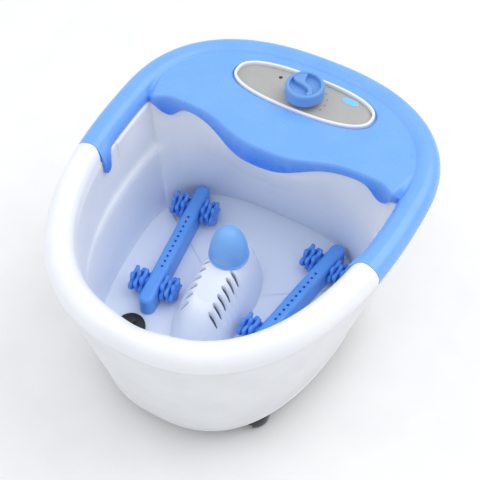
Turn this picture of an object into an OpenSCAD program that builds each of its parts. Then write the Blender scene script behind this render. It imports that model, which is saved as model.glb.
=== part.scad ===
// Foot spa basin: rolled-rim tub, blue console cover, massage strips and rollers, lamp dome, casters.
// Origin: centre of the footprint on the floor. +X to the right, +Y to the console end, +Z up.

/* [Overall] */
// Length from the heel end to the console end
overall_l = 429; // [360:1:520]
// Width across the rim
overall_w = 360; // [320:1:430]
// Height of the rim tube's centre above the floor
rim_z = 215; // [205:1:260]

/* [Rim and outer body] */
// Outside radius of the rolled rim
rim_r = 15.3; // [13:0.1:17]
// Superellipse exponent of the rim outline
rim_n = 2.4; // [2:0.1:3]
// Y of the rim's widest place
wide_y = 66.5; // [40:0.5:90]
// Moulded wall thickness
wall = 2.5; // [2:0.1:2.8]
// How far the body is set in below the rim
body_inset = 6; // [5.6:0.1:7]
// Half width of the base outline
base_hw = 129.4; // [125:0.1:150]
// Half length of the base outline
base_hl = 147.9; // [144:0.1:170]
// Y of the base outline's centre
base_y = -27; // [-35:1:-15]
// Height of the body's lower edge above the floor
base_z = 26; // [26:1:30]

/* [Basin] */
// Depth from the rim tube's centre to the basin floor
basin_depth = 152; // [140:1:156]
// Half width of the basin floor
floor_hw = 124; // [121:1:126]
// Half length of the basin floor
floor_hl = 138; // [132:1:140]
// Y of the basin floor's centre
floor_y = -32; // [-34:1:-30]
// Depth of the pouring lip
spout_drop = 6; // [2:0.5:8]

/* [Console] */
// Height of the console deck above the rim tube's centre
deck_h = 10.5; // [9:0.1:11]
// Half length of the control panel
panel_hl = 83; // [70:1:88]
// Half width of the control panel
panel_hw = 29; // [26:1:31]
// Y of the control panel's centre
panel_y = 149; // [140:1:151]
// Superellipse exponent of the control panel's outline
panel_n = 2.5; // [2:0.1:3]
// Width of the control panel's bezel
bezel_w = 3.4; // [2.6:0.1:6]
// Radius of the rotary knob
knob_r = 22; // [18:0.5:25]
// Height of the rotary knob
knob_h = 17; // [14:0.5:22]

/* [Foot area] */
// Length of a foot strip
strip_l = 178; // [160:1:182]
// Width of a foot strip
strip_w = 18; // [16:0.5:19]
// Height of a foot strip above the basin floor
strip_h = 25; // [23:0.5:28]
// Outward splay of the strips, degrees
splay = 8.2; // [4:0.1:10]
// Distance of a strip's middle from the centreline
strip_x = 77; // [75:1:79]
// Outside radius of a massage roller
roller_r = 15; // [12:0.5:15]
// Half length of a massage roller
roller_hl = 27; // [24:0.5:27]
// Height of the centre hump above the basin floor
hump_h = 65; // [55:1:70]
// Radius of the lamp dome
dome_r = 21; // [18:0.5:22]
// Height of the lamp dome
dome_h = 40; // [32:1:48]

/* [Casters] */
// Radius of a caster's hood
hood_r = 18; // [16:0.5:18.5]
// Radius of a caster's wheel
wheel_r = 11; // [10:0.5:11.5]

/* [Hidden] */

// Fits
fit_gap = 0.3;                 // between pieces that sit together
run_gap = 0.06;                // radial clearance of a turning fit
seat_gap = 0.1;                // under a screw head
bite = 0.02;                   // radius a shaft gives up inside its bore
merge = 1;                     // how far a post runs into a skin

// Rim path
rim_hw = overall_w / 2 - rim_r;
toe_len = overall_l / 2 - rim_r - wide_y;
heel_len = overall_l / 2 - rim_r + wide_y;
under_r = rim_r - wall - 0.6;  // white rim's radius where the cover wraps it
seam_t = -17;                  // path angle where the cover starts
tongue_t = -12;                // path angle where the cover's tongue ends
lip_t = -11;                   // path angle where the liner's upstand begins
corner_t = 0.9;                // path angle of the notch beside the splash fascia

// Heights above the floor
floor_z = rim_z - basin_depth;
flange_z = rim_z - 4.2;
under_floor_z = floor_z - wall;
body_top_z = rim_z + 1.8;
step_z = rim_z - 18;
plate_t = 3;
plate_z = base_z + 1;
plate_top = plate_z + plate_t;
deck_z = rim_z + deck_h;

function spow(v, p) = sign(v) * pow(abs(v), p);
function mix(a, b, s) = a * (1 - s) + b * s;
function ramp(v, a, b) = let (s = min(1, max(0, (v - a) / (b - a)))) s * s * (3 - 2 * s);
function bell(v, w) = exp(-(v / w) * (v / w));
function unit(v) = v / norm(v);
function lift(p, z) = [p[0], p[1], z];

// Centreline of the rim tube, and its normal towards the basin
function rim_pt(t) = [rim_hw * spow(cos(t), 2 / rim_n),
    wide_y + (sin(t) >= 0 ? toe_len : heel_len) * spow(sin(t), 2 / rim_n)];
function rim_in(t) = let (d = unit(rim_pt(t + 0.4) - rim_pt(t - 0.4))) [-d[1], d[0]];
function rim_off(t, d) = rim_pt(t) + d * rim_in(t);

// Superellipse seen from its centre
function polar_r(a, w, l, n) = pow(pow(abs(cos(a)) / w, n) + pow(abs(sin(a)) / l, n), -1 / n);
function outline_pt(a, w, l, y, n, taper) =
    let (r = polar_r(a, w * (1 + taper * sin(a)), l, n)) [r * cos(a), y + r * sin(a)];
function angle_at(p, y) = atan2(p[1] - y, p[0]);

// Outer body: from under the rim down to the base outline
function base_pt(p, inset) = let (a = angle_at(p, base_y))
    outline_pt(a, base_hw - inset, base_hl - inset, base_y, 2.5, 0.126);
function body_pt(t, s, inset) = let (top = rim_off(t, body_inset - rim_r + inset))
    lift(mix(top, base_pt(top, inset), s - 0.035 * sin(180 * s)), mix(step_z, base_z, s));

// Splash fascia: its front line, and how low its edge hangs
function wave_y(x) = 76 - 20 * bell(x, 48) - 11 * bell(abs(x) - 147, 14);
function fascia_low(x) = -3.6 - 16 * bell(x, 62)
    - 16 * bell(abs(x) - 130, 20) * (1 - ramp(abs(x), fascia_hw - 11, fascia_hw));
fascia_hw = rim_hw - 19.2;
open_hw = rim_hw - 18;
function along(t) = rim_pt(t)[0] / rim_pt(corner_t)[0];

// Opening line of the basin, and its floor outline
function in_toe(t) = sin(t) >= sin(corner_t) - 0.0001;
function covered(t) = sin(t) > sin(seam_t);
function open_pt(t) = in_toe(t)
    ? [open_hw * along(t), wave_y(open_hw * along(t)) + wall + 0.6]
    : rim_off(t, sin(t) > sin(lip_t) - 0.0001 ? 18 : 16.5);
function floor_pt(p) = outline_pt(angle_at(p, floor_y), floor_hw, floor_hl, floor_y, 3, 0.12);
function pull(s, t) = let (q = in_toe(t) ? ramp(sin(t), 0.02, 0.5) : 0) mix(s[0], s[1], q);
function liner_wall(t, s, z, out) = let (a = open_pt(t), b = floor_pt(a), p = mix(a, b, pull(s, t)),
    away = unit(floor_pt(p) - [0, floor_y])) lift(p + out * away, rim_z + z);

// A tube point of the rim: radius r, angle f (0 is towards the basin, 90 is up)
function tube_pt(t, r, f) = lift(rim_off(t, r * cos(f)), rim_z + r * sin(f));

// Stations round the rim
seam_side = [-20, seam_t - 0.05, seam_t + 0.05, -14, lip_t - 0.4, lip_t, -6, 0, corner_t];
liner_t = concat([for (t = [-90:6:-24]) each (t == -90 ? [t, -87] : t == -84 ? [t, -81] : [t])],
    seam_side, [for (t = [6:6:174]) t], [for (i = [len(seam_side) - 1:-1:0]) 180 - seam_side[i]],
    [for (t = [204:6:264]) each (t == 264 ? [261, t, 267] : [t])]);
arm_t = [seam_t + 0.1, -15.4, -13.6, tongue_t - 0.2, tongue_t, -9, -5, 0];
cover_t = concat(arm_t, [corner_t], [for (t = [5:5:175]) t], [180 - corner_t],
    [for (i = [len(arm_t) - 1:-1:0]) 180 - arm_t[i]]);

// Skin between rings: rings[i] is one closed loop of points, all of the same length
function ring_faces(n, i, j) = [for (k = [0:n - 1]) each let (m = (k + 1) % n)
    [[i * n + k, j * n + k, j * n + m], [i * n + k, j * n + m, i * n + m]]];
module tube_skin(rings) {
    n = len(rings[0]);
    r = len(rings);
    polyhedron([for (ring = rings) each ring], [for (i = [0:r - 1]) each ring_faces(n, i, (i + 1) % r)]);
}
// Skin of a bowl: rings down the inside to the floor, then up the outside to the lip
module bowl_skin(top, under) {
    n = len(top[0]);
    r = len(top) + len(under);
    floor_ring = (len(top) - 1) * n;
    polyhedron([for (ring = concat(top, under)) each ring],
        concat([for (i = [0:r - 1]) if (i != len(top) - 1) each ring_faces(n, i, (i + 1) % r)],
            [[for (k = [0:n - 1]) floor_ring + k], [for (k = [n - 1:-1:0]) floor_ring + n + k]]));
}

// Skin of an open sheet: each section runs along one face and back along the other
module sheet_skin(sections) {
    n = len(sections[0]);
    last = (len(sections) - 1) * n;
    function cap(b, flip) = [for (i = [0:n / 2 - 2]) each let (a = b + i, c = b + n - 1 - i)
        flip ? [[a, a + 1, c], [a + 1, c - 1, c]] : [[a, c, a + 1], [a + 1, c, c - 1]]];
    polyhedron([for (s = sections) each s],
        concat([for (i = [0:len(sections) - 2]) each ring_faces(n, i, i + 1)], cap(0, false), cap(last, true)));
}

module disc(x, y, z, r, h, sides = 64) {
    translate([x, y, z]) cylinder(r = r, h = h, $fn = sides);
}
module ring(x, y, z, r_out, r_in, h) {
    translate([x, y, z]) difference() {
        cylinder(r = r_out, h = h, $fn = 64);
        translate([0, 0, -1]) cylinder(r = r_in, h = h + 2, $fn = 64);
    }
}
module oval(x, y, z, hl, hw, h) {
    translate([x, y, z]) linear_extrude(h)
        polygon([for (i = [0:63]) let (a = i * 360 / 64, p = 2 / panel_n)
            [hl * spow(cos(a), p), hw * spow(sin(a), p)]]);
}

// Screws: pan head down, shank up
head_h = 1.8;
module screw(p, z, l, head_r = 3.2, shank_r = 1.5) {
    disc(p[0], p[1], z - head_h, head_r, head_h, 32);
    disc(p[0], p[1], z, shank_r, l, 32);
}

/* Shell pieces */

post_r = 4.5;
pilot_r = 1.6;
pilot_d = 8;
screw_bore = 1.9;
plate_inset = wall + 0.6;
head_bore = 3.6;
head_sink = 2.2;
vent_w = 3;
vent_l = 22;
vent_y = 88;
vent_pitch = 9;
hatch_gap = 4;
lamp_wire_r = 5;
cover_posts = [[118, 100], [-118, 100], [92, 160], [-92, 160], [112, 132], [-112, 132]];
base_posts = [[20, 72], [-20, 72], [34, -118], [-34, -118], [104, 0], [-104, 0]];
base_post_r = 5.5;

module outer_body() {
    steps = [0, 0.2, 0.45, 0.7, 0.88, 1];
    function loop(f) = [for (t = liner_t) f(t)];
    outer = concat([[for (t = liner_t) lift(rim_off(t, body_inset - rim_r), body_top_z)]],
        [for (s = steps) [for (t = liner_t) body_pt(t, s, 0)]]);
    inner = concat([for (i = [len(steps) - 1:-1:0]) [for (t = liner_t) body_pt(t, steps[i], wall)]],
        [[for (t = liner_t) lift(rim_off(t, body_inset - rim_r + wall), body_top_z)]]);
    color("whitesmoke") difference() {
        tube_skin(concat(outer, inner));
        gland_frame() cylinder(r = gland_r + fit_gap, h = 60, center = true, $fn = 48);
    }
}

// Basin section: [pull at the sides, pull at the console end] and height under the rim's centre
wall_steps = [[[0, 0], -23], [[0.1, 0.36], -63], [[0.42, 0.42], -69], [[0.55, 0.62], -100],
    [[0.76, 0.88], -138], [[0.86, 0.95], -147], [[1, 1], -basin_depth]];
function spout(t) = abs(rim_pt(t)[0]) < 60 && sin(t) < 0 ? bell(rim_pt(t)[0], 22) : 0;
function roll_pt(t, f, inner) = let (r = (covered(t) ? under_r : rim_r) - (inner ? wall : 0),
    dip = spout_drop * spout(t) * ramp(cos(f), -0.5, 0.9), p = tube_pt(t, r, f)) [p[0], p[1], p[2] - dip];

// The roll's outer lip hangs lower where it shows than under the cover
function lip_f(t, i) = covered(t) ? [186, 183, 180][i] : [218, 200, 180][i];

module basin_liner() {
    angles = [155, 130, 105, 80, 55, 30];
    top = concat([for (i = [0:2]) [for (t = liner_t) roll_pt(t, lip_f(t, i), false)]],
        [for (f = angles) [for (t = liner_t) roll_pt(t, f, false)]],
        [[for (t = liner_t) roll_pt(t, covered(t) ? asin((flange_z - rim_z) / under_r) : -2, false)]],
        [[for (t = liner_t) lift(open_pt(t), flange_z - spout_drop * spout(t))]],
        [for (w = wall_steps) [for (t = liner_t) liner_wall(t, w[0], w[1], 0)]]);
    low = len(wall_steps) - 1;
    under = concat([[for (t = liner_t) liner_wall(t, wall_steps[low][0], -basin_depth - wall, 0)]],
        [for (i = [low - 1:-1:0]) [for (t = liner_t)
            liner_wall(t, wall_steps[i][0], wall_steps[i][1] - (i == low - 1 ? 1.2 : 0), wall)]],
        [[for (t = liner_t) liner_wall(t, [0, 0], flange_z - rim_z - wall - spout_drop * spout(t), wall)]],
        [[for (t = liner_t)
            roll_pt(t, covered(t) ? asin((flange_z - rim_z - wall) / (under_r - wall)) : -2, true)]],
        [for (i = [len(angles) - 1:-1:0]) [for (t = liner_t) roll_pt(t, angles[i], true)]],
        [for (i = [2:-1:0]) [for (t = liner_t) roll_pt(t, lip_f(t, i), true)]]);
    color("white") difference() {
        bowl_skin(top, under);
        translate([-board_l / 2 - hatch_gap, board_y - hatch_gap, flange_z - 12])
            cube([board_l + 2 * hatch_gap, board_w + 2 * hatch_gap, 24]);
        for (p = concat(cover_posts, lid_posts)) disc(p[0], p[1], flange_z - 12, screw_bore, 24, 32);
        disc(drain_x, drain_y, under_floor_z - 5, drain_bore, 20);
        for (s = [-1, 1]) strip_frame(s) for (i = [-5:5])
            disc(0, i * air_pitch, under_floor_z - 2, air_hole_r + 0.2, 8, 24);
        disc(0, dome_y, under_floor_z - 2, lamp_wire_r, 8, 32);
    }
}

module base_plate() {
    color("gainsboro") difference() {
        union() {
            translate([0, 0, plate_z]) linear_extrude(plate_t)
                polygon([for (t = liner_t) let (p = body_pt(t, 1, plate_inset)) [p[0], p[1]]]);
            for (p = base_posts) disc(p[0], p[1], plate_z, base_post_r, under_floor_z - fit_gap - plate_z, 48);
            for (c = casters) disc(c[0], c[1], plate_z, socket_r, socket_h, 48);
        }
        for (p = base_posts) {
            disc(p[0], p[1], plate_z - 1, head_bore, head_sink + 1, 48);
            disc(p[0], p[1], plate_z - 1, pilot_r, 80, 32);
        }
        for (c = casters) disc(c[0], c[1], plate_z - 1, stem_r + run_gap, socket_h + 2, 48);
        disc(drain_x, drain_y, plate_z - 1, drain_r + drain_clear, plate_t + 2);
        for (i = [-4:4]) translate([i * vent_pitch - vent_w / 2, vent_y, plate_z - 1])
            cube([vent_w, vent_l, plate_t + 2]);
    }
}

/* Blue cover */

tube_f = [218, 200, 180, 160, 140, 120, 100, 80, 60];
valley_f = asin(deck_h / rim_r);
arm_f = [valley_f, 28, 14, 2, -7, -13];
tongue_out = [[12.6, 8.7], [15.2, 6.2], [18.2, 2], [19.6, -4], [19.9, -13], [19.7, -22]];
tongue_in = [[11.2, 6.6], [12.9, 4.4], [15.4, 1], [17.4, -3], [17.7, -13], [17.7, -22]];
skirt_round = 3;
pocket_wall = 3;
function deck_pts(t, inner) = let (a = tube_pt(t, rim_r - (inner ? wall : 0), valley_f),
    x = fascia_hw * along(t), y = wave_y(x), k = inner ? wall : 0, z = deck_z - k, e = [x, y + skirt_round])
    [a, lift(mix(a, e, 0.34), z), lift(mix(a, e, 0.67), z), lift(e + [0, inner ? 0.4 : 0], z),
        [x, y + k, z - skirt_round + (inner ? 0.6 : 0)], [x, y + k, rim_z + fascia_low(x)]];
function tongue_k(t) = 1 - ramp(t > 90 ? 180 - t : t, tongue_t - 3, tongue_t);
function arm_pts(t, inner) = let (k = tongue_k(t)) [for (i = [0:5])
    let (q = (inner ? tongue_in : tongue_out)[i], z = q[1] > -4 ? q[1] : -4 + (q[1] + 4) * k)
    k > 0 ? lift(rim_off(t, q[0]), rim_z + z) : tube_pt(t, rim_r - (inner ? wall : 0), arm_f[i])];
function cover_section(t) = let (r = rim_r - wall, tail = in_toe(t))
    concat([for (f = tube_f) tube_pt(t, rim_r, f)], tail ? deck_pts(t, false) : arm_pts(t, false),
        let (p = tail ? deck_pts(t, true) : arm_pts(t, true)) [for (i = [5:-1:0]) p[i]],
        [for (i = [len(tube_f) - 1:-1:0]) tube_pt(t, r, tube_f[i])]);

module top_cover() {
    hl = panel_hl + pocket_wall;
    hw = panel_hw + pocket_wall;
    color("#7fb2ff") difference() {
        union() {
            sheet_skin([for (t = cover_t) cover_section(t)]);
            oval(0, panel_y, panel_z - wall, hl, hw, deck_z - merge - panel_z + wall);
            for (p = cover_posts) disc(p[0], p[1], flange_z + fit_gap, post_r,
                deck_z - merge - flange_z - fit_gap, 48);
        }
        oval(0, panel_y, panel_z, panel_hl + fit_gap, panel_hw + fit_gap, 20);
        disc(knob_x, knob_y, panel_z - 10, switch_r + 0.5, 20);
        disc(lamp_x, lamp_y, panel_z - 10, lens_r + 0.2, 20, 32);
        for (p = cover_posts) disc(p[0], p[1], flange_z - 1, pilot_r, pilot_d + 1, 32);
    }
}

/* Control panel */

knob_x = 3;
knob_y = panel_y - 4;
lamp_x = -34;
lamp_y = panel_y + 12;
panel_z = deck_z - 4;
face_t = 2.2;
lens_r = 2;
lens_stand = 0.6;
switch_r = 9;
shaft_r = 3;
bezel_h = 6;
knob_z = panel_z + bezel_h + 0.5;
knob_recess = 6;
knob_ring = 5;
bore_roof = 8;
bar_hw = 3.2;
bar_sway = 3.4;
switch_side = 22;
switch_depth = 20;
switch_nose = 4;
shaft_in = 6;
board_l = 116;
board_w = 28;
board_t = 1.6;
board_y = panel_y - 21;
standoff_x = 52;
standoff_r = 3.4;

module panel_bezel() {
    color("white") difference() {
        oval(0, panel_y, panel_z, panel_hl, panel_hw, bezel_h);
        oval(0, panel_y, panel_z - 1, panel_hl - bezel_w, panel_hw - bezel_w, 8);
    }
}
module panel_faceplate() {
    color("silver") difference() {
        oval(0, panel_y, panel_z, panel_hl - bezel_w - fit_gap, panel_hw - bezel_w - fit_gap, face_t);
        disc(knob_x, knob_y, panel_z - 1, shaft_r + 1, face_t + 2, 32);
        disc(lamp_x, lamp_y, panel_z - 1, lens_r + 0.2, face_t + 2, 32);
    }
}
module indicator_lens() {
    color("dimgray") disc(lamp_x, lamp_y, panel_z - 3, lens_r, face_t + 3 + lens_stand, 32);
}
module control_knob() {
    color("#76a6e2") translate([knob_x, knob_y, knob_z]) difference() {
        union() {
            difference() {
                rotate_extrude($fn = 96) polygon([[0, 0], [knob_r - 1.5, 0], [knob_r, 2],
                    [knob_r - 0.8, knob_h - 3], [knob_r - 3, knob_h], [0, knob_h]]);
                translate([0, 0, knob_h - knob_recess]) cylinder(r = knob_r - knob_ring, h = 10, $fn = 96);
            }
            translate([0, 0, knob_h - knob_recess - 1]) linear_extrude(knob_recess + 1) s_bar();
        }
        translate([0, 0, -1]) cylinder(r = shaft_r, h = knob_h - bore_roof + 1, $fn = 48);
    }
}
// Finger bar with an S-shaped run, closed inside the knob's recess
module s_bar() {
    half = knob_r - knob_ring + 0.6;
    function mid(v) = bar_sway * sin(180 * v);
    intersection() {
        circle(r = half, $fn = 96);
        rotate(-50) polygon(concat([for (i = [-12:12]) [half * i / 12, mid(i / 12) + bar_hw]],
            [for (i = [12:-1:-12]) [half * i / 12, mid(i / 12) - bar_hw]]));
    }
}
module switch_shaft() {
    low = switch_top - shaft_in;
    color("silver") disc(knob_x, knob_y, low, shaft_r - bite, knob_z + knob_h - bore_roof - 0.2 - low, 48);
}
switch_top = panel_z - fit_gap;
module rotary_switch() {
    color("dimgray") difference() {
        union() {
            disc(knob_x, knob_y, switch_top - switch_nose, switch_r, switch_nose);
            translate([knob_x, knob_y, switch_top - switch_nose - switch_depth / 2])
                cube([switch_side, switch_side, switch_depth], center = true);
        }
        disc(knob_x, knob_y, switch_top - shaft_in - fit_gap, shaft_r + run_gap, 20, 48);
    }
}
module control_board() {
    top = switch_top - switch_nose - switch_depth - 0.4;
    color("seagreen") difference() {
        translate([-board_l / 2, board_y, top - board_t]) cube([board_l, board_w, board_t]);
        for (s = [-1, 1]) disc(s * standoff_x, board_y + board_w / 2, top - 5.6, 1.8, 10, 32);
    }
    color("seagreen") for (s = [-1, 1]) translate([s * standoff_x, board_y + board_w / 2, top])
        difference() {
            cylinder(r = standoff_r, h = switch_top - wall - fit_gap - top, $fn = 32);
            translate([0, 0, -0.6]) cylinder(r = 1.5, h = 8, $fn = 24);
        }
}

/* Centre hump and lamp */

dome_y = -16;
hump_top = floor_z + hump_h;
hump_wall = 2.2;
hump_y = -42;
hump_hw = 38;
hump_hl = 74;
ridge_hw = 12;
ridge_low = 47;
hump_front = -74;
hump_back = 4;
neck_r = 15;
neck_h = 4;
collar_h = 2.6;
dome_wall = 2;
lamp_r = 13;
lamp_drop = 14;
lamp_board_t = 1.6;
emitter_r = 2.5;
emitter_h = 9;
emitter_ring = 8;
lens_z = hump_top + collar_h;
slot_rows = 6;
slot_pitch = 9.2;
slot_w = 4;
slot_first = -35;
function ridge_z(y) = hump_h - (hump_h - ridge_low) * pow(max(0, (-34 - y) / 45), 1.4);
function hump_base(a, k) = outline_pt(a, hump_hw - k, hump_hl - k, hump_y, 2.2, 0);
function hump_ridge(a, k) = [(ridge_hw - k) * spow(cos(a), 0.6),
    mix(hump_front, hump_back, (1 + spow(sin(a), 0.7)) / 2)];
function hump_pt(a, s, k) = let (b = hump_base(a, k), r = hump_ridge(a, k), p = mix(b, r, s))
    lift(p, floor_z + fit_gap + (ridge_z(r[1]) - fit_gap - k) * pow(sin(90 * s), 0.85));
module hump_shell() {
    n = 48;
    levels = [0, 0.14, 0.34, 0.58, 0.8, 1];
    angles = [for (i = [0:n - 1]) 90 + i * 360 / n];
    outer = [for (s = levels) [for (a = angles) hump_pt(a, s, 0)]];
    inner = [for (i = [5:-1:0]) [for (a = angles) hump_pt(a, levels[i], hump_wall)]];
    // the two ridge loops are closed across by strips from left to right
    function strip(b, flip) = [for (k = [0:n / 2 - 1]) each let (m = (n - k) % n, q = n - k - 1)
        flip ? [[b + k, b + k + 1, b + m], [b + k + 1, b + q, b + m]]
            : [[b + k, b + m, b + k + 1], [b + k + 1, b + m, b + q]]];
    function good(f) = [for (t = f) if (t[0] != t[1] && t[1] != t[2] && t[0] != t[2]) t];
    pts = concat([for (r = outer) each r], [for (r = inner) each r]);
    polyhedron(pts, concat([for (i = [0:4]) each ring_faces(n, i, i + 1)],
        [for (i = [6:10]) each ring_faces(n, i, i + 1)], ring_faces(n, 11, 0),
        good(strip(5 * n, false)), good(strip(6 * n, true))));
}
module hump_grille() {
    color("white") difference() {
        hump_shell();
        disc(0, dome_y, hump_top - 10, neck_r, 20);
        for (i = [0:slot_rows - 1]) for (s = [-1, 1]) {
            y = slot_first - i * slot_pitch;
            disc(s * 13.4, y, floor_z + 24, slot_w / 2, 60, 24);
            translate([s * 19.4 - 6, y - slot_w / 2, floor_z + 24]) cube([12, slot_w, 60]);
        }
    }
}
module lamp_pedestal() {
    color("ivory") difference() {
        disc(0, dome_y, floor_z, lamp_r, hump_h - lamp_drop);
        disc(0, dome_y, floor_z - 1, lamp_r - wall, hump_h);
    }
}
module lamp_board() {
    color("seagreen") disc(0, dome_y, hump_top - lamp_drop, lamp_r, lamp_board_t);
}
module infrared_emitters() {
    color("darkred") for (i = [0:6]) {
        a = i * 60;
        r = i == 6 ? 0 : emitter_ring;
        translate([r * cos(a), dome_y + r * sin(a), hump_top - lamp_drop + lamp_board_t]) {
            cylinder(r = emitter_r, h = emitter_h, $fn = 32);
            translate([0, 0, emitter_h]) sphere(r = emitter_r, $fn = 32);
        }
    }
}
module dome_collar() {
    color("#6a9be0") difference() {
        union() {
            disc(0, dome_y, hump_top, dome_r + 1.2, collar_h);
            disc(0, dome_y, hump_top - neck_h, neck_r - fit_gap, neck_h + 0.05);
        }
        disc(0, dome_y, hump_top - 5, neck_r - wall, 20);
    }
}
module lamp_dome() {
    function egg(v, r, h) = [r * pow(cos(v), 1.02), h * sin(v)];
    color("#70a3e8") translate([0, dome_y, lens_z])
        rotate_extrude($fn = 96) polygon(concat([for (v = [0:6:84]) egg(v, dome_r, dome_h)], [[0, dome_h]],
            [[0, dome_h - dome_wall]],
            [for (v = [84:-6:0]) egg(v, dome_r - dome_wall, dome_h - dome_wall)]));
}

/* Foot strips and rollers */

strip_y = -4;
roller_at = 58;
axle_r = 3.5;
axle_z = floor_z + roller_r + 1.5;
air_pitch = 7.5;
air_hole_r = 1.4;
// Places its children in a strip's own frame: y along the strip
module strip_frame(s) {
    translate([s * strip_x, strip_y, 0]) rotate(-s * splay) children();
}
module foot_strip(s) {
    half = strip_l / 2 - strip_w / 2;
    z = floor_z + fit_gap;
    color("#5b94ea") strip_frame(s) difference() {
        union() {
            translate([-strip_w / 2, -half, z]) cube([strip_w, 2 * half, strip_h]);
            for (e = [-1, 1]) disc(0, e * half, z, strip_w / 2, strip_h);
        }
        translate([-strip_w / 2 + wall, -half, z - 1]) cube([strip_w - 2 * wall, 2 * half, strip_h + 1 - wall]);
        for (e = [-1, 1]) translate([0, e * roller_at, axle_z]) {
            rotate([0, 90, 0]) cylinder(r = axle_r + run_gap, h = 60, center = true, $fn = 48);
            translate([-30, -axle_r - run_gap, -30]) cube([60, 2 * (axle_r + run_gap), 30]);
        }
        for (i = [-5:5]) disc(0, i * air_pitch, z, air_hole_r, 60, 24);
    }
}
module left_strip() { foot_strip(-1); }
module right_strip() { foot_strip(1); }

disc_t = 3.6;
lobes = 7;
lobe_depth = 4;
inner_gap = 1.2;
module roller(s, e) {
    first = strip_w / 2 + inner_gap;
    pitch = (roller_hl - first - disc_t) / 2;
    color("#4f8de6") strip_frame(s) translate([0, e * roller_at, axle_z]) rotate([0, 90, 0]) {
        cylinder(r = axle_r, h = 2 * roller_hl, center = true, $fn = 48);
        for (side = [-1, 1]) for (i = [0:2]) translate([0, 0, side * (first + i * pitch + disc_t / 2)])
            linear_extrude(disc_t, center = true) rotate(i * 180 / lobes)
                polygon([for (k = [0:47])
                    let (a = k * 7.5, r = roller_r + lobe_depth / 2 * (cos(lobes * a) - 1))
                    [r * cos(a), r * sin(a)]]);
    }
}
module roller_front_left() { roller(-1, -1); }
module roller_front_right() { roller(1, -1); }
module roller_rear_left() { roller(-1, 1); }
module roller_rear_right() { roller(1, 1); }

/* Drain and cord inlet */

drain_x = -68;
drain_y = -114;
drain_r = 8;
drain_bore = drain_r + fit_gap;
drain_clear = 0.8;
flange_r = 16;
flange_t = 2.4;
gasket_t = 1.2;
nut_h = 5;
module drain_fitting() {
    color("dimgray") difference() {
        union() {
            disc(drain_x, drain_y, floor_z + gasket_t, flange_r, flange_t);
            disc(drain_x, drain_y, base_z + 0.5, drain_r, floor_z + flange_t - base_z - 0.5);
        }
        disc(drain_x, drain_y, base_z - 3, drain_r - 2, 80);
    }
}
module drain_gasket() {
    color("black") ring(drain_x, drain_y, floor_z, flange_r, drain_r, gasket_t);
}
module drain_nut() {
    color("dimgray") difference() {
        disc(drain_x, drain_y, under_floor_z - nut_h, drain_r + 5, nut_h, 6);
        disc(drain_x, drain_y, under_floor_z - 6, drain_r, 8);
    }
}
module drain_plug() {
    z = floor_z + gasket_t + flange_t;
    color("#141414") translate([drain_x, drain_y, z]) {
        rotate_extrude($fn = 64) polygon([[0, -8], [drain_r - 2.9, -8], [drain_r - 2.3, 0],
            [flange_r - 0.5, 0], [flange_r, 1.5], [flange_r - 1.5, 4], [5, 5.5], [5, 9], [6.5, 11],
            [6, 14], [0, 15]]);
    }
}
gland_s = 0.76;
gland_r = 8;
gland_bore = 4;
gland_lip = 3;
gland_nut_t = 5;
// Places its children on the body's console-end wall, z pointing straight out of the wall
module gland_frame() {
    a = body_pt(90, gland_s - 0.05, 0);
    b = body_pt(90, gland_s + 0.05, 0);
    translate((a + b) / 2) rotate([-atan2(a[1] - b[1], a[2] - b[2]) - 90, 0, 0]) children();
}
module cord_gland() {
    color("#181818") gland_frame() difference() {
        union() {
            translate([0, 0, -12]) cylinder(r = gland_r, h = 16, $fn = 64);
            translate([0, 0, fit_gap]) cylinder(r = gland_r + gland_lip, h = gland_lip, $fn = 64);
            translate([0, 0, -wall - fit_gap - gland_nut_t])
                cylinder(r = gland_r + gland_lip, h = gland_nut_t, $fn = 6);
        }
        translate([0, 0, -20]) cylinder(r = gland_bore, h = 60, $fn = 48);
    }
}

/* Blower and heater */

blow_y = 138;
volute_r = 34;
volute_z = rim_z - 66;
volute_h = 30;
fan_shaft_r = 2;
hose_r = 7;
hose_x = 46;
hose_y = 122;
hose_wall = 1.5;
hose_bend = 12;
duct_wall = 2;
lid_t = 2.5;
intake_r = 12;
fan_r = 26;
fan_h = 16;
fan_t = 1.6;
motor_r = 18;
motor_floor = 4;
module blower_volute() {
    duct_w = hose_r + duct_wall;
    color("gray") translate([0, blow_y, volute_z]) difference() {
        union() {
            cylinder(r = volute_r, h = volute_h, $fn = 96);
            translate([0, hose_y - blow_y - duct_w, 0]) cube([hose_x + 10, 2 * duct_w, 2 * duct_w]);
        }
        translate([0, 0, wall]) cylinder(r = volute_r - wall, h = volute_h, $fn = 96);
        translate([0, 0, -1]) cylinder(r = 4, h = 10, $fn = 48);
        translate([10, hose_y - blow_y - hose_r, duct_wall]) cube([hose_x - 2, 2 * hose_r, 2 * hose_r]);
        translate([hose_x, hose_y - blow_y, -5]) cylinder(r = hose_r + 0.1, h = 10, $fn = 48);
    }
}
module blower_lid() {
    z = volute_z + volute_h;
    color("gray") difference() {
        union() {
            disc(0, blow_y, z, volute_r, lid_t, 96);
            for (p = lid_posts) disc(p[0], p[1], z, post_r, flange_z - wall - fit_gap - z, 48);
        }
        disc(0, blow_y, z - 1, intake_r, 6);
        for (p = lid_posts) disc(p[0], p[1], flange_z - wall - 12, pilot_r, 20, 32);
    }
}
lid_posts = [for (s = [-1, 1]) for (e = [[24, -26], [24, 28]]) [s * e[0], blow_y + e[1]]];
module blower_impeller() {
    color("white") translate([0, blow_y, volute_z + wall + 2]) difference() {
        union() {
            cylinder(r = fan_r, h = fan_t, $fn = 96);
            cylinder(r = 6, h = fan_h, $fn = 48);
            for (i = [0:11]) rotate(i * 30) translate([8, -fan_t / 2, 0]) cube([fan_r - 9, fan_t, fan_h]);
        }
        translate([0, 0, -1]) cylinder(r = fan_shaft_r, h = 20, $fn = 48);
    }
}
motor_h = 34;
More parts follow.
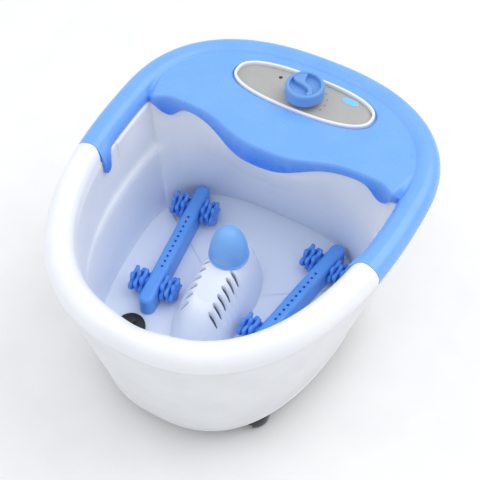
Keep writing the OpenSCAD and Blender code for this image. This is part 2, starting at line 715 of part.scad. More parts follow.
motor_z = volute_z - motor_h;
module blower_motor() {
    color("silver") translate([0, blow_y, motor_z]) difference() {
        cylinder(r = motor_r, h = motor_h, $fn = 96);
        translate([0, 0, motor_floor]) cylinder(r = fan_shaft_r + run_gap, h = 40, $fn = 48);
    }
}
module blower_shaft() {
    color("lightgray") disc(0, blow_y, motor_z + motor_floor + fit_gap, fan_shaft_r, motor_h + wall + 12, 48);
}
channel_z = under_floor_z - 10;
channel_w = 18;
channel_wall = 2;
cross_y = 44;
cross_w = 14;
cross_hl = 84;
module air_hose() {
    low = channel_z + 5;
    color("lightgray") {
        difference() {
            disc(hose_x, hose_y, low + hose_bend, hose_r, volute_z + 1 - low - hose_bend, 48);
            disc(hose_x, hose_y, low + hose_bend - 1, hose_r - hose_wall, 200, 48);
        }
        translate([hose_x, hose_y - hose_bend, low + hose_bend]) rotate([0, 90, 0])
            rotate_extrude(angle = 90, $fn = 64) translate([hose_bend, 0]) difference() {
                circle(r = hose_r, $fn = 48);
                circle(r = hose_r - hose_wall, $fn = 48);
            }
    }
}
module air_channels() {
    h = under_floor_z - fit_gap - channel_z;
    k = channel_wall;
    color("lightblue") difference() {
        union() {
            for (s = [-1, 1]) strip_frame(s) translate([-channel_w / 2, -52, channel_z])
                cube([channel_w, 118, h]);
            translate([-cross_hl, cross_y, channel_z]) cube([2 * cross_hl, cross_w, h]);
            translate([hose_x - channel_w / 2, cross_y + 6, channel_z])
                cube([channel_w, hose_y - hose_bend - cross_y - 6 - fit_gap, h]);
        }
        for (s = [-1, 1]) strip_frame(s) translate([-channel_w / 2 + k, -52 + k, channel_z + k])
            cube([channel_w - 2 * k, 118 - 2 * k, h]);
        translate([-cross_hl + k, cross_y + k, channel_z + k]) cube([2 * (cross_hl - k), cross_w - 2 * k, h]);
    }
}
heater = [80, 110, 4];
thermostat_h = 10;
terminal = [44, 14, 12];
terminal_pitch = 10.6;
module heater_plate() {
    color("silver") translate([-heater[0] / 2, -80, under_floor_z - fit_gap - heater[2]]) cube(heater);
}
module thermostat() {
    color("black") disc(0, -30, under_floor_z - 2 * fit_gap - heater[2] - thermostat_h, 9, thermostat_h, 48);
}
module terminal_block() {
    color("white") translate([-30, 78, plate_top]) difference() {
        cube(terminal);
        for (i = [0:3]) translate([6 + i * terminal_pitch, terminal[1] / 2, 4])
            cylinder(r = 2.6, h = 20, $fn = 32);
    }
}

/* Casters */

casters = [[-85, -113], [85, -113], [-88, 62], [88, 62]];
trail = 3.5;
stem_r = 3.5;
socket_r = 8;
socket_h = 18;
pin_r = 1.5;
pin_l = 27;
wheel_w = 14;
fork_gap = 0.5;
hood_low = 5;
hood_top = base_z - 0.6;
module caster_hood(c) {
    color("#101010") translate([c[0], c[1], 0]) difference() {
        union() {
            rotate_extrude($fn = 96) polygon([[0, hood_top], [7, hood_top], [12, hood_top - 1.4],
                [hood_r - 2, hood_top - 6], [hood_r, hood_top - 13], [hood_r, hood_low], [0, hood_low]]);
            translate([0, 0, hood_top - 1]) cylinder(r = stem_r, h = socket_h, $fn = 48);
        }
        translate([-wheel_w / 2 - fork_gap, -40, -1]) cube([wheel_w + 2 * fork_gap, 80, wheel_r + 1]);
        translate([0, -trail, wheel_r]) rotate([0, 90, 0])
            cylinder(r = wheel_r + 0.8, h = wheel_w + 2 * fork_gap, center = true, $fn = 96);
        translate([0, -trail, wheel_r]) rotate([0, 90, 0])
            cylinder(r = pin_r, h = 60, center = true, $fn = 32);
    }
}
module caster_wheel(c) {
    color("#1c1c1c") translate([c[0], c[1] - trail, wheel_r]) rotate([0, 90, 0]) rotate_extrude($fn = 96)
        polygon([[pin_r + run_gap, -wheel_w / 2], [wheel_r - 1.5, -wheel_w / 2], [wheel_r, -wheel_w / 2 + 1.5],
            [wheel_r, wheel_w / 2 - 1.5], [wheel_r - 1.5, wheel_w / 2], [pin_r + run_gap, wheel_w / 2]]);
}
module caster_pin(c) {
    color("silver") translate([c[0], c[1] - trail, wheel_r]) rotate([0, 90, 0])
        cylinder(r = pin_r - bite, h = pin_l, center = true, $fn = 32);
}
module caster_hood_fl() { caster_hood(casters[0]); }
module caster_hood_fr() { caster_hood(casters[1]); }
module caster_hood_rl() { caster_hood(casters[2]); }
module caster_hood_rr() { caster_hood(casters[3]); }
module caster_wheel_fl() { caster_wheel(casters[0]); }
module caster_wheel_fr() { caster_wheel(casters[1]); }
module caster_wheel_rl() { caster_wheel(casters[2]); }
module caster_wheel_rr() { caster_wheel(casters[3]); }
module caster_pin_fl() { caster_pin(casters[0]); }
module caster_pin_fr() { caster_pin(casters[1]); }
module caster_pin_rl() { caster_pin(casters[2]); }
module caster_pin_rr() { caster_pin(casters[3]); }

/* Fasteners */

module cover_screws() {
    color("silver") for (p = cover_posts) screw(p, flange_z - wall - seat_gap, 9);
}
module base_screws() {
    color("silver") for (p = base_posts) screw(p, plate_z + head_sink - seat_gap, 24);
}
module blower_screws() {
    color("silver") for (p = lid_posts) translate([0, 0, 2 * flange_z]) mirror([0, 0, 1])
        screw(p, flange_z - seat_gap, 10);
}

outer_body();
basin_liner();
top_cover();
base_plate();
panel_bezel();
panel_faceplate();
indicator_lens();
control_knob();
switch_shaft();
rotary_switch();
control_board();
hump_grille();
lamp_pedestal();
lamp_board();
infrared_emitters();
dome_collar();
lamp_dome();
left_strip();
right_strip();
roller_front_left();
roller_front_right();
roller_rear_left();
roller_rear_right();
drain_plug();
drain_fitting();
drain_gasket();
drain_nut();
cord_gland();
blower_volute();
blower_lid();
blower_impeller();
blower_shaft();
blower_motor();
air_hose();
air_channels();
heater_plate();
thermostat();
terminal_block();
caster_hood_fl();
caster_hood_fr();
caster_hood_rl();
caster_hood_rr();
caster_wheel_fl();
caster_wheel_fr();
caster_wheel_rl();
caster_wheel_rr();
caster_pin_fl();
caster_pin_fr();
caster_pin_rl();
caster_pin_rr();
cover_screws();
base_screws();
blower_screws();
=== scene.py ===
import math

import bmesh
import bpy
import numpy as np
from mathutils import Matrix, Vector


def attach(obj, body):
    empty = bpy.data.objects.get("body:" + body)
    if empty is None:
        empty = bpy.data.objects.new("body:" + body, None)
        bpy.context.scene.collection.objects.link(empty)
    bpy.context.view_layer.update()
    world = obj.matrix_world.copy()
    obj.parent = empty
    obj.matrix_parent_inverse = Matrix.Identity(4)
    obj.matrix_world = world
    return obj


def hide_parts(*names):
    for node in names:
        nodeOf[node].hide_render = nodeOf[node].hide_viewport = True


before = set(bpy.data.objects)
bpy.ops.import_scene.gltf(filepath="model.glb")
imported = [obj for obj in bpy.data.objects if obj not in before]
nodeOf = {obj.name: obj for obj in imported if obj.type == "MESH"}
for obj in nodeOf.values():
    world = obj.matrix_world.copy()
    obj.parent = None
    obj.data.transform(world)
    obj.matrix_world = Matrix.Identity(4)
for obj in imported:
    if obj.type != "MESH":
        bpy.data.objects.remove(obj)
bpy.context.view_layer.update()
collection = bpy.context.scene.collection

mm = 0.001


def linear(hexText):  # sRGB hex to linear RGBA
    out = []
    for i in (1, 3, 5):
        c = int(hexText[i : i + 2], 16) / 255
        out.append(c / 12.92 if c <= 0.04045 else ((c + 0.055) / 1.055) ** 2.4)
    return (*out, 1.0)


def addNode(tree, kind, settings=None, values=None, links=None):
    node = tree.nodes.new(kind)
    for key, value in (settings or {}).items():
        setattr(node, key, value)
    for key, value in (values or {}).items():
        node.inputs[key].default_value = value
    for key, source in (links or {}).items():
        tree.links.new(source, node.inputs[key])
    return node


def spow(v, p):
    return np.sign(v) * np.abs(v) ** p


def ramp(v, a, b):
    s = np.clip((v - a) / (b - a), 0, 1)
    return s * s * (3 - 2 * s)


def bell(v, w):
    return np.exp(-((v / w) ** 2))


def mix(a, b, s):
    return a * (1 - s) + b * s


def sinD(t):
    return np.sin(np.radians(t))


def cosD(t):
    return np.cos(np.radians(t))


def unitRows(v):
    return v / np.maximum(np.linalg.norm(v, axis=-1, keepdims=True), 1e-12)


def lift(p, z):
    return np.concatenate([p, np.broadcast_to(np.asarray(z, float)[..., None], p.shape[:-1] + (1,))], axis=-1)


def meshObject(name, verts, faces, material=None, smoothAngle=38.0):  # points are in millimetres
    data = bpy.data.meshes.new(name)
    data.from_pydata((np.asarray(verts, float) * mm).tolist(), [], faces)
    tidyMesh(data, smoothAngle)
    obj = bpy.data.objects.new(name, data)
    collection.objects.link(obj)
    if material:
        data.materials.append(material)
    return obj


def tidyMesh(data, smoothAngle=38.0):
    bm = bmesh.new()
    bm.from_mesh(data)
    bmesh.ops.remove_doubles(bm, verts=bm.verts, dist=2e-6)
    bmesh.ops.dissolve_degenerate(bm, edges=bm.edges, dist=1e-6)
    bmesh.ops.recalc_face_normals(bm, faces=bm.faces)
    limit = math.radians(smoothAngle)
    for face in bm.faces:
        face.smooth = True
    for edge in bm.edges:
        if len(edge.link_faces) == 2:
            edge.smooth = edge.calc_face_angle(0) < limit
    bm.to_mesh(data)
    bm.free()


def gridFaces(rows, cols, closeRows=False, skip=None):  # skip leaves the band after that row open
    faces = []
    for i in range(rows if closeRows else rows - 1):
        if i != skip:
            a, b = i * cols, (i + 1) % rows * cols
            faces += [(a + k, a + (k + 1) % cols, b + (k + 1) % cols, b + k) for k in range(cols)]
    return faces


def rounded(points, cuts, steps=5):  # points is (corners, lines, 3), cuts the length cut back at each corner
    out = [points[0]]
    for i in range(1, len(points) - 1):
        if cuts[i] <= 0:
            out.append(points[i])
            continue
        back, ahead = points[i - 1] - points[i], points[i + 1] - points[i]
        lb = np.linalg.norm(back, axis=-1, keepdims=True)
        la = np.linalg.norm(ahead, axis=-1, keepdims=True)
        a = points[i] + back / np.maximum(lb, 1e-9) * np.minimum(cuts[i], 0.48 * lb)
        b = points[i] + ahead / np.maximum(la, 1e-9) * np.minimum(cuts[i], 0.48 * la)
        for s in np.linspace(0, 1, steps):
            out.append(a * (1 - s) ** 2 + points[i] * 2 * s * (1 - s) + b * s * s)
    out.append(points[-1])
    return np.array(out)


def revolve(profile, sides, centre=(0, 0, 0), cuts=None, steps=5):  # turns (radius, z) points about Z
    prof = np.array([[r, 0, z] for r, z in profile], float)[:, None, :]
    if cuts is not None:
        prof = rounded(prof, cuts, steps)
    prof = prof[:, 0, :]
    a = np.arange(sides) * 2 * math.pi / sides
    x, y = np.outer(prof[:, 0], np.cos(a)), np.outer(prof[:, 0], np.sin(a))
    rings = np.stack([x, y, np.repeat(prof[:, 2:3], sides, 1)], -1)
    hollow = prof[0][0] > 1e-6 or prof[-1][0] > 1e-6  # an end on the axis closes to one point
    return rings.reshape(-1, 3) + np.array(centre), gridFaces(len(prof), sides, hollow)


def loft(rings, closeRows=False):  # quads between rings, with flat ends
    rings = np.asarray(rings, float)
    rows, cols = rings.shape[:2]
    faces = gridFaces(rows, cols, closeRows)
    if not closeRows:
        faces.append(tuple(range(cols))[::-1])
        faces.append(tuple((rows - 1) * cols + k for k in range(cols)))
    return rings.reshape(-1, 3), faces


def joined(parts):  # several (verts, faces) as one
    verts, faces, start = [], [], 0
    for v, f in parts:
        verts.append(np.asarray(v, float))
        faces += [tuple(i + start for i in face) for face in f]
        start += len(v)
    return np.concatenate(verts), faces


def place(part, matrix):
    v, f = part
    m = np.array(matrix, float)
    return np.asarray(v) @ m[:3, :3].T + m[:3, 3], f


def turn(axis, degrees):
    return Matrix.Rotation(math.radians(degrees), 4, axis)


def cutWith(obj, cutter):  # the cutter is used up, and a plain mesh stays
    mod = obj.modifiers.new("cut", "BOOLEAN")
    mod.operation = "DIFFERENCE"
    mod.solver = "EXACT"
    mod.object = cutter
    bpy.context.view_layer.update()
    before = len(obj.data.polygons)
    made = bpy.data.meshes.new_from_object(obj.evaluated_get(bpy.context.evaluated_depsgraph_get()))
    obj.modifiers.clear()
    if len(made.polygons) == 0 or len(made.polygons) == before:
        print("cut did nothing:", obj.name)
    obj.data = made
    bpy.data.objects.remove(cutter)
    tidyMesh(made)


def handOver(obj, body, slot, *nodes):
    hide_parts(*nodes)
    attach(obj, body)
    return obj


def newMaterial(name):
    material = bpy.data.materials.new(name)
    material.use_nodes = True
    tree = material.node_tree
    tree.nodes.clear()
    shader = addNode(tree, "ShaderNodeBsdfPrincipled")
    out = addNode(tree, "ShaderNodeOutputMaterial", links={"Surface": shader.outputs["BSDF"]})
    coords = addNode(tree, "ShaderNodeTexCoord")
    return material, tree, shader, coords.outputs["Object"]


def mottled(tree, coords, sizeMm, low, high, detail=3.0, lowAt=0.35, highAt=0.65):  # noise of a real size
    noise = addNode(tree, "ShaderNodeTexNoise", values={"Scale": 1 / (sizeMm * mm), "Detail": detail},
                    links={"Vector": coords})
    blend = addNode(tree, "ShaderNodeValToRGB", links={"Fac": noise.outputs["Fac"]})
    blend.color_ramp.elements[0].position = lowAt
    blend.color_ramp.elements[1].position = highAt
    blend.color_ramp.elements[0].color = low
    blend.color_ramp.elements[1].color = high
    return blend.outputs["Color"]


def grey(v):
    return (v, v, v, 1.0)


def bumps(tree, coords, shader, layers):  # layers are (feature size in mm, depth in mm, detail)
    last = None
    for size, depth, detail in layers:
        noise = addNode(tree, "ShaderNodeTexNoise", values={"Scale": 1 / (size * mm), "Detail": detail},
                        links={"Vector": coords})
        links = {"Height": noise.outputs["Fac"]}
        if last:
            links["Normal"] = last
        bump = addNode(tree, "ShaderNodeBump", values={"Strength": 1.0, "Distance": depth * mm}, links=links)
        last = bump.outputs["Normal"]
    tree.links.new(last, shader.inputs["Normal"])


# injection-moulded plastic: faint flow mottling, soft waviness from the mould, fine grain
def plastic(name, low, high, rough=(0.25, 0.32), peel=(22, 0.03), grain=None, coat=0.0, subsurface=0.0,
            paintedShade=None):
    material, tree, shader, coords = newMaterial(name)
    colour = mottled(tree, coords, 40, linear(low), linear(high))
    if paintedShade:  # (hex, z low, z high in mm, share): painted shade, a cooler and darker colour mixed in lower down
        parts = addNode(tree, "ShaderNodeSeparateXYZ", links={"Vector": coords})
        depth = addNode(tree, "ShaderNodeMapRange", {"interpolation_type": "SMOOTHSTEP"},
                        {"From Min": paintedShade[1] * mm, "From Max": paintedShade[2] * mm, "To Min": paintedShade[3], "To Max": 0.0},
                        {"Value": parts.outputs["Z"]})
        blend = addNode(tree, "ShaderNodeMix", {"data_type": "RGBA"}, links={"Factor": depth.outputs["Result"]})
        tree.links.new(colour, blend.inputs["A"])
        blend.inputs["B"].default_value = linear(paintedShade[0])
        colour = blend.outputs["Result"]
    tree.links.new(colour, shader.inputs["Base Color"])
    tree.links.new(mottled(tree, coords, 14, grey(rough[0]), grey(rough[1])), shader.inputs["Roughness"])
    shader.inputs["IOR"].default_value = 1.5
    if coat:
        shader.inputs["Coat Weight"].default_value = coat
        shader.inputs["Coat Roughness"].default_value = 0.06
    if subsurface:
        shader.inputs["Subsurface Weight"].default_value = subsurface
        shader.inputs["Subsurface Radius"].default_value = (0.004, 0.003, 0.003)
        shader.inputs["Subsurface Scale"].default_value = 0.5
    bumps(tree, coords, shader, [(*peel, 0.0)] + ([(*grain, 1.0)] if grain else []))
    return material


def metal(name, low, high, rough=(0.28, 0.42), stretch=(1, 1, 12), depth=0.004):  # fine lines along one axis
    material, tree, shader, coords = newMaterial(name)
    scaled = addNode(tree, "ShaderNodeMapping", values={"Scale": stretch}, links={"Vector": coords})
    along = scaled.outputs["Vector"]
    tree.links.new(mottled(tree, along, 4, linear(low), linear(high)), shader.inputs["Base Color"])
    tree.links.new(mottled(tree, along, 1.5, grey(rough[0]), grey(rough[1])), shader.inputs["Roughness"])
    shader.inputs["Metallic"].default_value = 1.0
    bumps(tree, along, shader, [(0.8, depth, 2.0)])
    return material


def makeMaterials():
    m = {}
    # high-gloss polypropylene, injection moulded: outer body
    m["body"] = plastic("whitePolypropyleneMoulded", "#e6e7ea", "#ebecee", (0.3, 0.37),
                        peel=(16, 0.02), subsurface=0.05)
    # the same resin in the bowl, painted lighter than the body to offset the shade inside it, with painted cool
    # shade lower down
    m["basin"] = plastic("whitePolypropyleneBowl", "#f0f2f6", "#f4f5f8", (0.3, 0.36),
                         peel=(18, 0.02), paintedShade=("#e4edfc", 60, 185, 1.0))
    # coloured acrylonitrile butadiene styrene, glossy mould; the deeper blue low on the fascia and tube
    # undersides is painted shade
    m["cover"] = plastic("skyBlueStyreneMoulded", "#72acfb", "#78b0fc", (0.24, 0.32),
                         peel=(14, 0.008), coat=0.15, paintedShade=("#4c8cf6", 200, 224, 1.0))
    # bezel: gloss white styrene
    m["bezel"] = plastic("whiteStyreneGloss", "#eceef0", "#f1f2f4", (0.16, 0.24), peel=(9, 0.008))
    # faceplate: painted grey styrene, fine satin
    m["face"] = plastic("greySatinPaintedStyrene", "#aeaeab", "#b5b5b2", (0.42, 0.5),
                        peel=(6, 0.004), grain=(0.25, 0.003))
    # knob: blue styrene, satin
    m["knob"] = plastic("blueStyreneSatin", "#6a9ddc", "#71a3e0", (0.34, 0.42),
                        peel=(8, 0.006), grain=(0.3, 0.003))
    # lamp dome: tinted translucent styrene
    m["dome"] = plastic("blueTintedStyreneDome", "#7ab2ef", "#80b6f1", (0.3, 0.38),
                        peel=(7, 0.008), subsurface=0.15)
    # foot strips and rollers: blue polypropylene
    m["strip"] = plastic("bluePolypropyleneStrip", "#5b9cf0", "#62a1f3", (0.28, 0.36),
                         peel=(10, 0.012), subsurface=0.05)
    m["roller"] = plastic("bluePolypropyleneRoller", "#4f90ec", "#5596ef", (0.26, 0.34),
                          peel=(8, 0.01), subsurface=0.05)
    # soft black rubber
    m["rubber"] = plastic("blackRubberMoulded", "#121314", "#1a1b1c", (0.42, 0.55),
                          peel=(5, 0.01), grain=(0.5, 0.006))
    # caster hoods: gloss black nylon
    m["caster"] = plastic("blackNylonGloss", "#0e0f10", "#151618", (0.16, 0.26), peel=(9, 0.012), coat=0.3)
    m["wheel"] = plastic("blackNylonWheel", "#17181a", "#1f2022", (0.35, 0.5), peel=(4, 0.01))
    # base plate: unpainted grey polypropylene
    m["base"] = plastic("greyPolypropyleneBase", "#c9cacc", "#d0d1d3", (0.4, 0.5),
                        peel=(12, 0.02), grain=(0.6, 0.008))
    m["dark"] = plastic("darkGreyNylon", "#35373a", "#3d3f42", (0.38, 0.48), peel=(6, 0.008))
    m["board"] = plastic("greenSolderMaskBoard", "#1f5a38", "#256541", (0.3, 0.4), peel=(3, 0.004))
    m["emitter"] = plastic("redEpoxyEmitter", "#7a1014", "#8a161a", (0.12, 0.2), peel=(5, 0.004))
    m["smoke"] = plastic("smokedPolycarbonate", "#2d2f33", "#36383c", (0.12, 0.2), peel=(4, 0.003))
    m["hose"] = plastic("clearVinylHose", "#c6ccd0", "#d2d7da", (0.25, 0.36), peel=(6, 0.01), subsurface=0.2)
    m["channel"] = plastic("paleBluePolypropylene", "#a9c6e6", "#b2cdea", (0.35, 0.45), peel=(8, 0.01))
    m["mark"] = plastic("screenPrintedInk", "#5d6068", "#666a72", (0.45, 0.55), peel=(2, 0.001))
    m["badge"] = plastic("skyBlueEnamelBadge", "#86c9f5", "#8fcef7", (0.25, 0.35), peel=(3, 0.002))
    # zinc-plated steel screws, pins and shafts
    m["steel"] = metal("zincPlatedSteel", "#b9bcc0", "#c9ccd0")
    # rolled aluminium plate
    m["aluminium"] = metal("rolledAluminium", "#c4c6c9", "#d3d5d8", stretch=(1, 14, 1))
    return m


mat = makeMaterials()
print("materials made:", len(mat))

rim = dict(r=15.3, z=215.0, n=2.4, halfW=164.7, toe=132.7, heel=265.7, wideY=66.5)
wall = 2.5
underR = rim["r"] - wall - 0.6
floorZ, stepZ, deckZ = 63.0, 197.0, 225.5
base = dict(halfW=129.4, halfL=147.9, y=-27.0, z=26.0)
floorOval = dict(halfW=124.0, halfL=138.0, y=-32.0)
body = dict(edgeIn=6.0, rise=1.8, drop=stepZ - base["z"], bow=0.035, lipH=3.2, lipOut=1.3)  # lip: lower edge
gland = dict(holeR=8.3, high=0.71, low=0.81)  # shares of the way down the console end
drain = dict(x=-68.0, y=-114.0, holeR=8.3)
fasciaW, openW = rim["halfW"] - 19.2, rim["halfW"] - 18
cornerT, lipT, tongueT, seamT = 0.9, -11.0, -12.0, -17.0


def rimPoint(t):
    c, s = cosD(t), sinD(t)
    return np.stack([rim["halfW"] * spow(c, 2 / rim["n"]),
                     rim["wideY"] + np.where(s >= 0, rim["toe"], rim["heel"]) * spow(s, 2 / rim["n"])], -1)


def rimInward(t):
    d = unitRows(rimPoint(t + 0.4) - rimPoint(t - 0.4))
    return np.stack([-d[..., 1], d[..., 0]], -1)


def rimOff(t, d):
    return rimPoint(t) + np.asarray(d, float)[..., None] * rimInward(t)


def seamWarp(t, f):
    fold = np.degrees(np.arcsin(np.clip(sinD(t), -1, 1)))
    window = ramp(fold, seamT - 9, seamT) * (1 - ramp(fold, seamT + 1, tongueT + 5))
    return t - np.where(cosD(t) > 0, 1, -1) * 1.5 * window * (1 - ramp(f, 0, 75))


def tubePoint(t, r, f):
    return lift(rimOff(seamWarp(t, f), r * cosD(f)), rim["z"] + r * sinD(f) * np.ones_like(t))


def outline(a, w, l, y, n, taper=0.0):
    ww = w * (1 + taper * np.sin(a))
    r = (np.abs(np.cos(a) / ww) ** n + np.abs(np.sin(a) / l) ** n) ** (-1 / n)
    return np.stack([r * np.cos(a), y + r * np.sin(a)], -1)


def basePoint(p, inset):
    a = np.arctan2(p[..., 1] - base["y"], p[..., 0])
    return outline(a, base["halfW"] - inset, base["halfL"] - inset, base["y"], 2.5, 0.126)


def bodyPoint(t, s, inset):
    top = rimOff(t, body["edgeIn"] - rim["r"] + inset)
    low = basePoint(top, inset)
    return lift(mix(top, low, s - body["bow"] * math.sin(math.pi * s)), mix(stepZ, base["z"], s))


def floorPoint(p):
    a = np.arctan2(p[..., 1] - floorOval["y"], p[..., 0])
    return outline(a, floorOval["halfW"], floorOval["halfL"], floorOval["y"], 3, 0.12)


def waveY(x):
    return 76 - 20 * np.exp(-np.abs(x / 60) ** 3) - 11 * bell(np.abs(x) - 147, 14)


def fasciaLow(x):
    a = np.abs(x)
    middle = np.exp(-np.abs((x + 16) / 57) ** 3)
    return -2.2 - 18.5 * middle - 17.5 * bell(a - 127, 13) * (1 - ramp(a, fasciaW - 11, fasciaW))


def inToe(t):
    return sinD(t) >= sinD(cornerT) - 1e-4


def along(t):
    return rimPoint(t)[..., 0] / rimPoint(np.array(cornerT))[0]


def stations(a, b, count):  # path angles from a to b at even steps along the rim
    t = np.linspace(a, b, 6000)
    steps = np.linalg.norm(np.diff(rimPoint(t), axis=0), axis=1)
    length = np.concatenate([[0], np.cumsum(steps)])
    return np.interp(np.linspace(0, length[-1], count), length, t)


def makeBody():
    half = np.concatenate([stations(-90, 0, 190)[:-1], stations(0, 90, 90)])
    t = np.concatenate([half, (180 - half)[::-1][1:-1]])
    steps = np.linspace(0, 1, 36)
    edge, topZ, lipOut = body["edgeIn"] - rim["r"], rim["z"] + body["rise"], body["lipOut"]
    outer = [lift(rimOff(t, edge), topZ), lift(rimOff(t, edge), stepZ + 3)]
    outer += [bodyPoint(t, s, 0) for s in steps if s * body["drop"] < body["drop"] - body["lipH"]]
    sLip = 1 - body["lipH"] / body["drop"]
    outer.append(bodyPoint(t, sLip, 0))
    outer.append(bodyPoint(t, sLip, -lipOut * 0.8) - [0, 0, 0.25])
    outer.append(bodyPoint(t, sLip, -lipOut) - [0, 0, 0.9])
    outer.append(bodyPoint(t, 1, -lipOut) + [0, 0, 0.5])
    outer.append(bodyPoint(t, 1, -lipOut * 0.7))
    inner = [bodyPoint(t, s, wall) for s in steps[::-1]]
    inner += [lift(rimOff(t, edge + wall), topZ)]
    verts, faces = loft(outer + inner, closeRows=True)
    obj = meshObject("outerBody", verts, faces, mat["body"], 50)
    a, b = (bodyPoint(np.array([90.0]), gland[key], 0)[0] for key in ("high", "low"))
    tilt = -math.degrees(math.atan2(a[1] - b[1], a[2] - b[2])) - 90
    hole = revolve([(0, -14), (gland["holeR"], -14), (gland["holeR"], 14), (0, 14)], 48)
    at = Matrix.Translation(Vector((a + b) / 2)) @ turn("X", tilt)
    cutWith(obj, meshObject("cutter", *place(hole, at)))
    handOver(obj, "tub", "body_white", "outer_body")
    return at


glandFrame = makeBody()
print("outer body made")

# how far the wall has come in (heel, toe), and its depth below the rim
wallSteps = [((0, 0), -23), ((0.1, 0.36), -63), ((0.42, 0.42), -69), ((0.55, 0.62), -100), ((0.76, 0.88), -138),
             ((0.86, 0.95), -147), ((1, 1), -152)]


def openPoint(t, soft=False):
    toe = inToe(t)
    x = openW * along(t)
    fold = np.degrees(np.arcsin(np.clip(sinD(t), -1, 1)))
    step = ramp(fold, lipT - 14, lipT + 8) if soft else (sinD(t) > sinD(lipT) - 1e-4)
    onRim = rimOff(t, 16.5 + 1.5 * step)
    return np.where(toe[:, None], np.stack([x, waveY(x) + wall + 0.6], -1), onRim)


def spout(t):
    x = rimPoint(t)[..., 0]
    return np.where((np.abs(x) < 60) & (sinD(t) < 0), bell(x, 22), 0)


def linerWall(t, pull, z, out):
    a = openPoint(t, z < -30)
    b = floorPoint(a)
    q = np.where(inToe(t), ramp(sinD(t), 0.02, 0.5), 0)
    p = mix(a, b, mix(pull[0], pull[1], q)[:, None])
    away = unitRows(floorPoint(p) - [0, floorOval["y"]])
    return lift(p + out * away, rim["z"] + z)


def rollPoint(t, f, inner):
    covered = sinD(t) > sinD(seamT)
    r = np.where(covered, underR, rim["r"]) - (wall if inner else 0)
    p = lift(rimOff(seamWarp(t, f), r * cosD(f)), rim["z"] + r * sinD(f))
    dip = 6 * spout(t) * ramp(cosD(f), -0.5, 0.9)
    return p - np.stack([0 * t, 0 * t, dip], -1)


def makeBasin():
    d = 0.04
    half = np.concatenate([stations(-90, seamT - d, 210), stations(seamT + d, lipT - 0.3, 12),
                           stations(lipT, 0, 16)[:-1], stations(0, cornerT, 4)[:-1], stations(cornerT, 90, 200)])
    t = np.concatenate([half, (180 - half)[::-1][1:-1]])
    covered = sinD(t) > sinD(seamT)
    drop = spout(t) * 6

    def lipAngle(i):
        return np.where(covered, (186, 184, 182)[i], (218, 208, 196)[i])

    def rollRow(f, inner=False):
        return rollPoint(t, f * np.ones_like(t), inner)

    flange = -4.2
    fTop = np.where(covered, np.degrees(np.arcsin(flange / underR)), -2)
    fUnder = np.where(covered, np.degrees(np.arcsin((flange - wall) / (underR - wall))), -2)
    roll = [rollRow(lipAngle(i)) for i in range(3)] + [rollRow(f) for f in range(170, 10, -8)] + [rollRow(fTop)]
    section = [roll[-1], lift(openPoint(t), rim["z"] + flange - drop)]
    section += [linerWall(t, p, z, 0) for p, z in wallSteps]
    cuts = [0, 4.5, 6, 8, 9, 16, 12, 8, 0]
    inside = list(rounded(np.array(section), cuts, 7))[1:]
    centre = np.array([0, floorOval["y"], 0])
    flat = inside[-1]
    floorRings = [flat * [s, s, 1] + centre * (1 - s) for s in (0.93, 0.8, 0.6, 0.35, 0.12)]
    low = len(wallSteps) - 1
    under = [linerWall(t, wallSteps[low][0], -154.5, 0)]
    for i in range(low - 1, -1, -1):
        pull, z = wallSteps[i]
        under.append(linerWall(t, pull, z - (1.2 if i == low - 1 else 0), wall))
    under += [linerWall(t, (0, 0), flange - wall, wall) - np.stack([0 * t, 0 * t, drop], -1)]
    under += [rollRow(fUnder, True)] + [rollRow(f, True) for f in range(30, 170, 20)]
    under += [rollRow(lipAngle(i), True) for i in (2, 1, 0)]
    top = roll + inside + floorRings
    n = len(t)
    rings = top + under
    verts = np.array(rings).reshape(-1, 3)
    faces = gridFaces(len(rings), n, True, skip=len(top) - 1)
    faces.append(tuple((len(top) - 1) * n + k for k in range(n)))
    faces.append(tuple(len(top) * n + k for k in range(n))[::-1])
    obj = meshObject("basinLiner", verts, faces, mat["basin"], 48)
    r = drain["holeR"]
    hole = revolve([(0, 50), (r, 50), (r, 75), (0, 75)], 64, (drain["x"], drain["y"], 0))
    cutWith(obj, meshObject("cutter", *hole))
    handOver(obj, "tub", "basin_white", "basin_liner")


makeBasin()
print("basin made")

panel = dict(y=149.0, halfL=83.0, halfW=29.0, z=221.5, bezel=3.4, bezelH=6.0, faceT=2.2, n=2.5)
pocket = dict(longer=1.7, gap=0.5, deep=2.5, out=3.4, under=1.6)  # the recess that holds the panel
knob = dict(x=3.0, y=145.0, z=228.0, r=22.0, h=17.0, barTurn=-50)
indicator = dict(x=-34.0, y=161.0, r=2.0)
tongueOut = [(12.6, 8.7), (15.2, 6.2), (18.2, 2), (19.6, -4), (19.9, -13), (19.7, -22)]
tongueIn = [(11.2, 6.6), (12.9, 4.4), (15.4, 1), (17.4, -3), (17.7, -13), (17.7, -22)]
valleyF = math.degrees(math.asin(10.5 / rim["r"]))
armF = [valleyF, 28, 14, 2, -7, -13]


def ovalRing(hl, hw, z, offset=0.0, y=None, sides=160):
    a = np.arange(sides) * 2 * math.pi / sides
    p = np.stack([hl * spow(np.cos(a), 2 / panel["n"]), hw * spow(np.sin(a), 2 / panel["n"])], -1)
    d = np.roll(p, -1, 0) - np.roll(p, 1, 0)
    n = unitRows(np.stack([d[:, 1], -d[:, 0]], -1))
    q = p + n * offset
    return np.stack([q[:, 0], q[:, 1] + (panel["y"] if y is None else y), np.full(sides, float(z))], -1)


def deckLine(t, inner):
    k = wall if inner else 0
    a = tubePoint(t, rim["r"] - k, valleyF)
    x = fasciaW * along(t)
    y = waveY(x)
    z = deckZ - k
    edge = np.stack([x, y + 3], -1)
    e2 = np.stack([x, y + 3 + (0.4 if inner else 0)], -1)
    front = np.stack([x, y + k], -1)
    return [a, lift(mix(a[:, :2], edge, 0.34), z), lift(mix(a[:, :2], edge, 0.67), z), lift(e2, z),
            lift(front, deckZ - k - 3 + (0.6 if inner else 0)), lift(front, rim["z"] + fasciaLow(x))]


